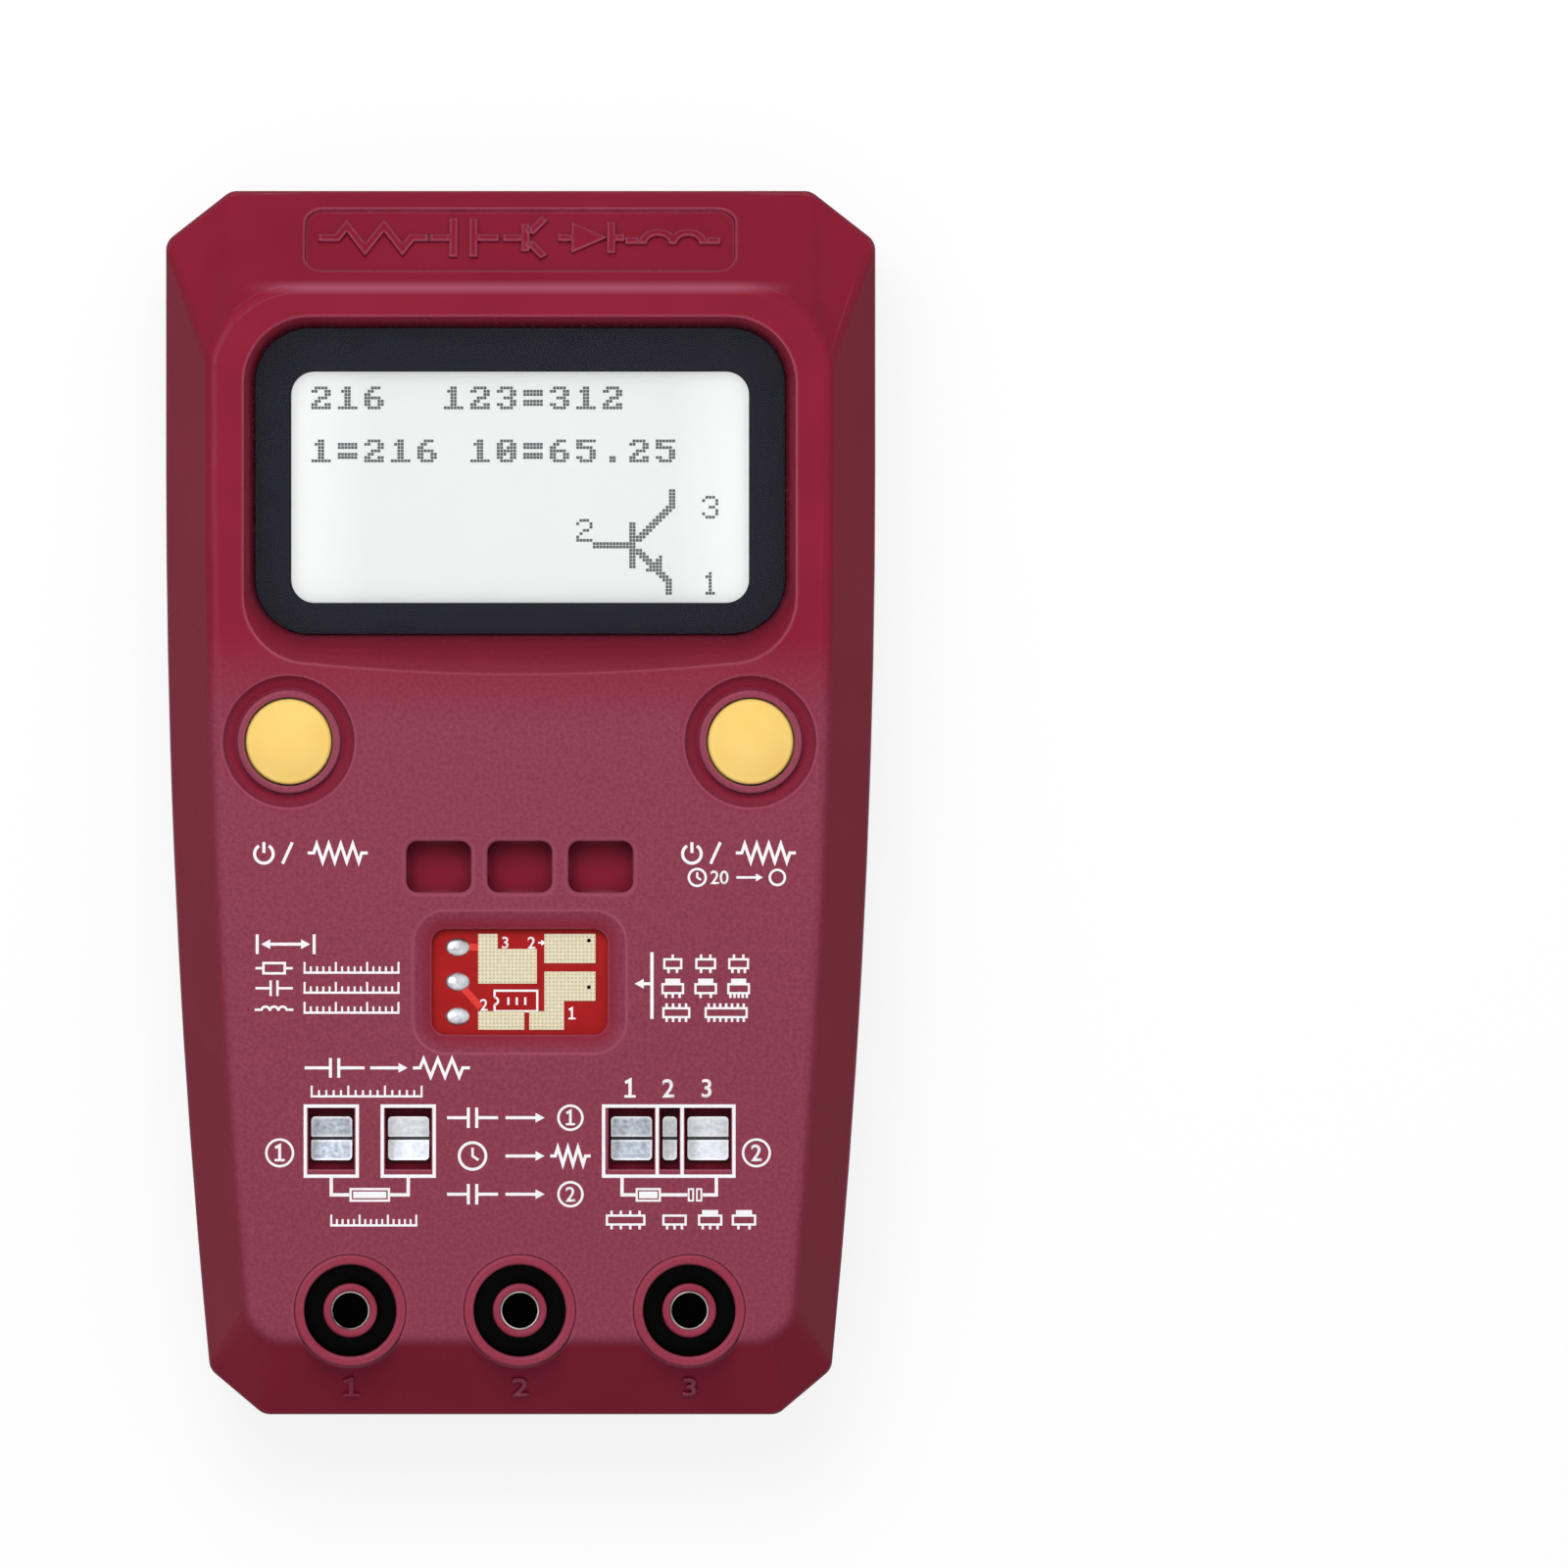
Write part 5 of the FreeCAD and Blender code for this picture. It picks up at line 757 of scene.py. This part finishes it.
holeShadeLook = dict(dark="#0c0806", grain=0.2, relief=0.004, roughness=0.5, spread=0.05, edge=0.01)


def boardTraces(top):    # copper runs that lighten the lacquer
    bm = bmesh.new()
    pins, width = middle("smd_pins"), boardRun["width"]
    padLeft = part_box("smd_pads")[0].x / mm
    penLine(bm, [(pins.x, pins.y + boardRun["up"]), (padLeft, pins.y + boardRun["up"])], width)
    penLine(bm, [(pins.x, pins.y), (pins.x + boardRun["slant"][0], pins.y + boardRun["slant"][1])], width)
    overCopper = finish("solderMaskOverCopper", traceLook, **lacquered)   # same lacquer, brighter
    inkPiece("board_traces", bm, overCopper, top, boardRun["thickness"])


def boardMarks(top):     # a package outline with a notch, and pin numbers
    bm = bmesh.new()
    ink, line = boardInk, boardInk["line"]
    left, right = ink["left"], ink["right"]
    penLine(bm, [(left, ink["notchTop"]), (left, ink["top"]), (right, ink["top"]), (right, ink["bottom"]),
                 (left, ink["bottom"]), (left, ink["notchBottom"])], line)
    penArc(bm, left, ink["notchMiddle"], ink["notchRadius"], -90, 90, line, 10)
    for i in range(ink["strokes"]):
        spot = ink["strokeLeft"] + i * ink["strokeStep"]
        penLine(bm, [(spot, ink["strokeLow"]), (spot, ink["strokeHigh"])], line)
    for number, x, y in ink["numbers"]:
        penNumber(bm, number, x, y, ink["digit"])
    penArrow(bm, *ink["arrow"])
    inkPiece("board_marks", bm, inkWhite, top, ink["thickness"])


def padHoles():
    bm = bmesh.new()
    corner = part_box("smd_pads")[1]
    for y in (corner.y / mm - padHole["inset"], padHole["lower"]):
        penDot(bm, corner.x / mm - padHole["inset"], y, padHole["radius"])
    holeShade = finish("platedHoleShade", holeShadeLook, **{"Specular IOR Level": 0.0})   # painted shade in the mouth of a plated hole
    inkPiece("pad_hole_shades", bm, holeShade, corner.z, padHole["thickness"])


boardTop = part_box("smd_board")[1].z
boardTraces(boardTop)
boardMarks(boardTop)
padHoles()
print("small board drawn")


# the reading on the display, in dots

reading = dict(columns=128, pitch=0.373, dot=0.325, thickness=0.02, advance=8, rowStep=16, top=46.7,
               shift=0.5, lines=("216  123=312", "1=216 10=65.25"),
               strokes=(((85, 47), (96, 47), 1), ((85, 48), (96, 48), 1), ((96, 41), (96, 54), 2),
                        ((97, 46), (107, 36), 3), ((108, 31), (108, 36), 2),     # upper leg
                        ((97, 49), (106, 58), 3), ((107, 58), (107, 62), 2)),    # lower leg
               arrowHead=(101, 105, 55, 5), pins=(("2", 80, 40), ("3", 118, 33), ("1", 118, 56)))
dotLook = dict(dark="#676869", grain=0.3, relief=0.002, roughness=0.45, spread=0.03, edge=0.01)
glyphs = {"0": ".####../##..##./##.###./######./###.##./##..##./.####..",
          "1": "..##.../.###.../..##.../..##.../..##.../..##.../######.",
          "2": ".####../##..##./....##./..###../.##..../##..##./######.",
          "3": ".####../##..##./....##./..###../....##./##..##./.####..",
          "5": "######./##...../#####../....##./....##./##..##./.####..",
          "6": "..###../.##..../##...../#####../##..##./##..##./.####..",
          "=": "......./######./######./......./######./######./.......",
          ".": "......./......./......./......./......./..##.../..##...", " ": "."}
pinGlyphs = {"1": "..#../.##../..#../..#../..#../..#../.###.",
             "2": ".###./#...#/....#/..##./.#.../#..../#####",
             "3": ".###./#...#/....#/..##./....#/#...#/.###."}


def glyphDots(glyph, column, row):
    return {(column + i, row + j) for j, line in enumerate(glyph.split("/"))
            for i, mark in enumerate(line) if mark == "#"}


def lineDots(start, end, thick=1):
    steps = max(1, abs(end[0] - start[0]), abs(end[1] - start[1]))
    dots = set()
    for i in range(steps + 1):
        column = start[0] + round((end[0] - start[0]) * i / steps)
        row = start[1] + round((end[1] - start[1]) * i / steps)
        dots |= {(column + k, row) for k in range(thick)}
    return dots


def dotTree():           # a small tile on every point
    tree = bpy.data.node_groups.new("displayDots", "GeometryNodeTree")
    for name, kind in (("Geometry", "NodeSocketGeometry"), ("Dot", "NodeSocketFloat"),
                       ("Thickness", "NodeSocketFloat"), ("Finish", "NodeSocketMaterial")):
        tree.interface.new_socket(name, in_out="INPUT", socket_type=kind)
    tree.interface.new_socket("Geometry", in_out="OUTPUT", socket_type="NodeSocketGeometry")
    add = partial(addNode, tree)
    given = add("NodeGroupInput").node.outputs
    points = add("GeometryNodeMeshToPoints", {"Mesh": given["Geometry"]})
    size = add("ShaderNodeCombineXYZ", (given["Dot"], given["Dot"], given["Thickness"]))
    tile = add("GeometryNodeMeshCube", {"Size": size}, "Mesh")
    tiles = add("GeometryNodeInstanceOnPoints", {"Points": points, "Instance": tile})
    real = add("GeometryNodeRealizeInstances", (tiles,))
    finished = add("GeometryNodeSetMaterial", {"Geometry": real, "Material": given["Finish"]})
    add("NodeGroupOutput", {"Geometry": finished})
    return tree


def repeatOnPoints(name, places, tree, values, body="housing"):
    mesh = bpy.data.meshes.new(name)
    mesh.from_pydata(places, [], [])
    piece = bpy.data.objects.new(name, mesh)
    bpy.context.scene.collection.objects.link(piece)
    modifier = piece.modifiers.new("repeat", "NODES")
    modifier.node_group = tree
    for item in tree.interface.items_tree:
        if item.in_out == "INPUT" and item.name in values:
            modifier[item.identifier] = values[item.name]
    graph = bpy.context.evaluated_depsgraph_get()
    piece.data = bpy.data.meshes.new_from_object(piece.evaluated_get(graph))
    piece.modifiers.clear()
    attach(piece, body)


def displayReading():
    dots = set()
    for row, text in enumerate(reading["lines"]):
        for i, character in enumerate(text):
            dots |= glyphDots(glyphs[character], i * reading["advance"], row * reading["rowStep"])
    for start, end, thick in reading["strokes"]:
        dots |= lineDots(start, end, thick)
    left, right, low, rows = reading["arrowHead"]
    for i in range(rows):
        dots |= lineDots((left + i, low - i), (right, low - i))
    for number, column, row in reading["pins"]:
        dots |= glyphDots(pinGlyphs[number], column, row)
    pitch, height = reading["pitch"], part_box("lcd_glass")[1].z + reading["thickness"] / 2 * mm
    left = middle("window_mask").x - reading["columns"] * pitch / 2 + reading["shift"]
    places = [((left + column * pitch) * mm, (reading["top"] - row * pitch) * mm, height)
              for column, row in sorted(dots)]
    values = {"Dot": reading["dot"] * mm, "Thickness": reading["thickness"] * mm,
              "Finish": finish("darkLiquidCrystal", dotLook)}   # turned crystal: flat grey
    repeatOnPoints("display_reading", places, dotTree(), values)


displayReading()
print("reading set")


# raised marks on the slopes

slopeMarks = dict(digit=3.0, thickness=0.3, drop=8.6)
topSigns = dict(y=63.4, height=5.6, stroke=0.95, thickness=0.4, resistor=(-16.4, 8.4, 0.62, 4),
                capacitor=(-6.4, 1.3, 2.9), transistor=0.6, diode=(8.0, 0.8, 1.5),
                coil=(17.2, -0.9, 1.7, 2, 1.5))


def slopeNumerals():
    drawings = []
    for number in (1, 2, 3):
        bm = bmesh.new()
        penNumber(bm, str(number), 0, 0, slopeMarks["digit"])
        spot = middle(f"jack_socket_{number}")
        drawings.append(((spot.x, spot.y - slopeMarks["drop"]), bm))
    reliefPiece("jack_numerals", drawings, slopeMarks["thickness"])


def partSigns():         # a row of parts: resistor, capacitor, transistor, diode and coil
    bm = bmesh.new()
    high, stroke = topSigns["height"], topSigns["stroke"]
    x, length, share, teeth = topSigns["resistor"]
    zigzagSign(bm, x, 0, length, share * high, stroke, teeth)
    x, gap, lead = topSigns["capacitor"]
    capacitorSign(bm, x, 0, gap, high, lead, stroke)
    transistorSign(bm, topSigns["transistor"], 0, high, stroke)
    x, share, lead = topSigns["diode"]
    diodeSign(bm, x, 0, share * high, lead, stroke)
    coilSign(bm, *topSigns["coil"], stroke)
    reliefPiece("name_signs", [((0, topSigns["y"]), bm)], topSigns["thickness"])


slopeNumerals()
partSigns()
print("relief raised")


# floor, light and camera: places and sizes in metres, the gap under the tester in mm

studio = dict(floor="#707070", white="#ffffff", lift=0.84, floorSide=6.0, floorGap=0.05, dome=0.9,
              horizon=0.06, domeSpan=(0.45, 0.8), distance=2.5, frameWidth=0.1762, aim=(0.0297, 0.0021))
lamps = dict(key=dict(power=1.9, size=0.3, spot=(-0.05, 0.22, 0.56), shine=False),   # over the display end
             sheen=dict(power=0.7, size=0.16, spot=(-0.22, 0.1, 0.38), colour=(0.85, 0.86, 1.0), soft=False))


def whiteRays(add):      # the background is white to the eye, in metal and through glass
    path = add("ShaderNodeLightPath").node.outputs
    seen = path["Is Camera Ray"]
    for ray in ("Is Glossy Ray", "Is Transmission Ray"):
        seen = add("ShaderNodeMath", (seen, path[ray]), operation="MAXIMUM")
    return seen


def layFloor():
    bm = bmesh.new()
    penSlab(bm, 0, 0, studio["floorSide"], studio["floorSide"])
    bmesh.ops.translate(bm, vec=(0, 0, cadBox[0].z - studio["floorGap"] * mm), verts=bm.verts)
    mesh = bpy.data.meshes.new("floor")
    bm.to_mesh(mesh)
    bm.free()
    material, add = startMaterial("paperSweep")   # paper: white to the eye, still holding the shadow
    glow = add("ShaderNodeMath", (whiteRays(add), studio["lift"]), operation="MULTIPLY")
    endMaterial(add, {"Base Color": linear(studio["floor"]), "Roughness": 0.9, "Specular IOR Level": 0.0,
                      "Emission Color": linear(studio["white"]), "Emission Strength": glow})
    mesh.materials.append(material)
    floor = bpy.data.objects.new("floor", mesh)
    bpy.context.scene.collection.objects.link(floor)


def addLamp(name, power, size, spot, colour=(1, 1, 1), soft=True, shine=True):   # turned to the tester
    data = bpy.data.lights.new(name, "AREA")
    data.energy = power
    data.size = size
    data.color = colour
    lamp = bpy.data.objects.new(name, data)
    lamp.location = spot
    lamp.rotation_euler = (-Vector(spot)).to_track_quat("-Z", "Y").to_euler()
    lamp.visible_camera = False
    lamp.visible_transmission = False
    lamp.visible_diffuse = soft
    lamp.visible_glossy = shine
    bpy.context.scene.collection.objects.link(lamp)


def addWorld():          # white to the eye, to the tester a dome that is bright above and dark round the foot
    world = bpy.data.worlds.new("studioAir")
    world.use_nodes = True
    world.node_tree.nodes.clear()
    add = partial(addNode, world.node_tree)
    way = add("ShaderNodeTexCoord", out="Generated")
    height = add("ShaderNodeSeparateXYZ", (way,), 2)
    dome = add("ShaderNodeMapRange", (height, *studio["domeSpan"], studio["horizon"], studio["dome"]))
    strength = add("ShaderNodeMath", (dome, whiteRays(add)), operation="MAXIMUM")
    air = add("ShaderNodeBackground", {"Color": linear(studio["white"]), "Strength": strength})
    add("ShaderNodeOutputWorld", {"Surface": air})
    bpy.context.scene.world = world


def addCamera():
    data = bpy.data.cameras.new("camera")
    data.lens = data.sensor_width * studio["distance"] / studio["frameWidth"]
    camera = bpy.data.objects.new("camera", data)
    camera.location = (*studio["aim"], face + studio["distance"])
    bpy.context.scene.collection.objects.link(camera)
    bpy.context.scene.camera = camera


layFloor()
for lampName, lamp in lamps.items():
    addLamp(lampName, **lamp)
addWorld()
addCamera()
bpy.context.scene.view_settings.view_transform = "Standard"
print("studio set")
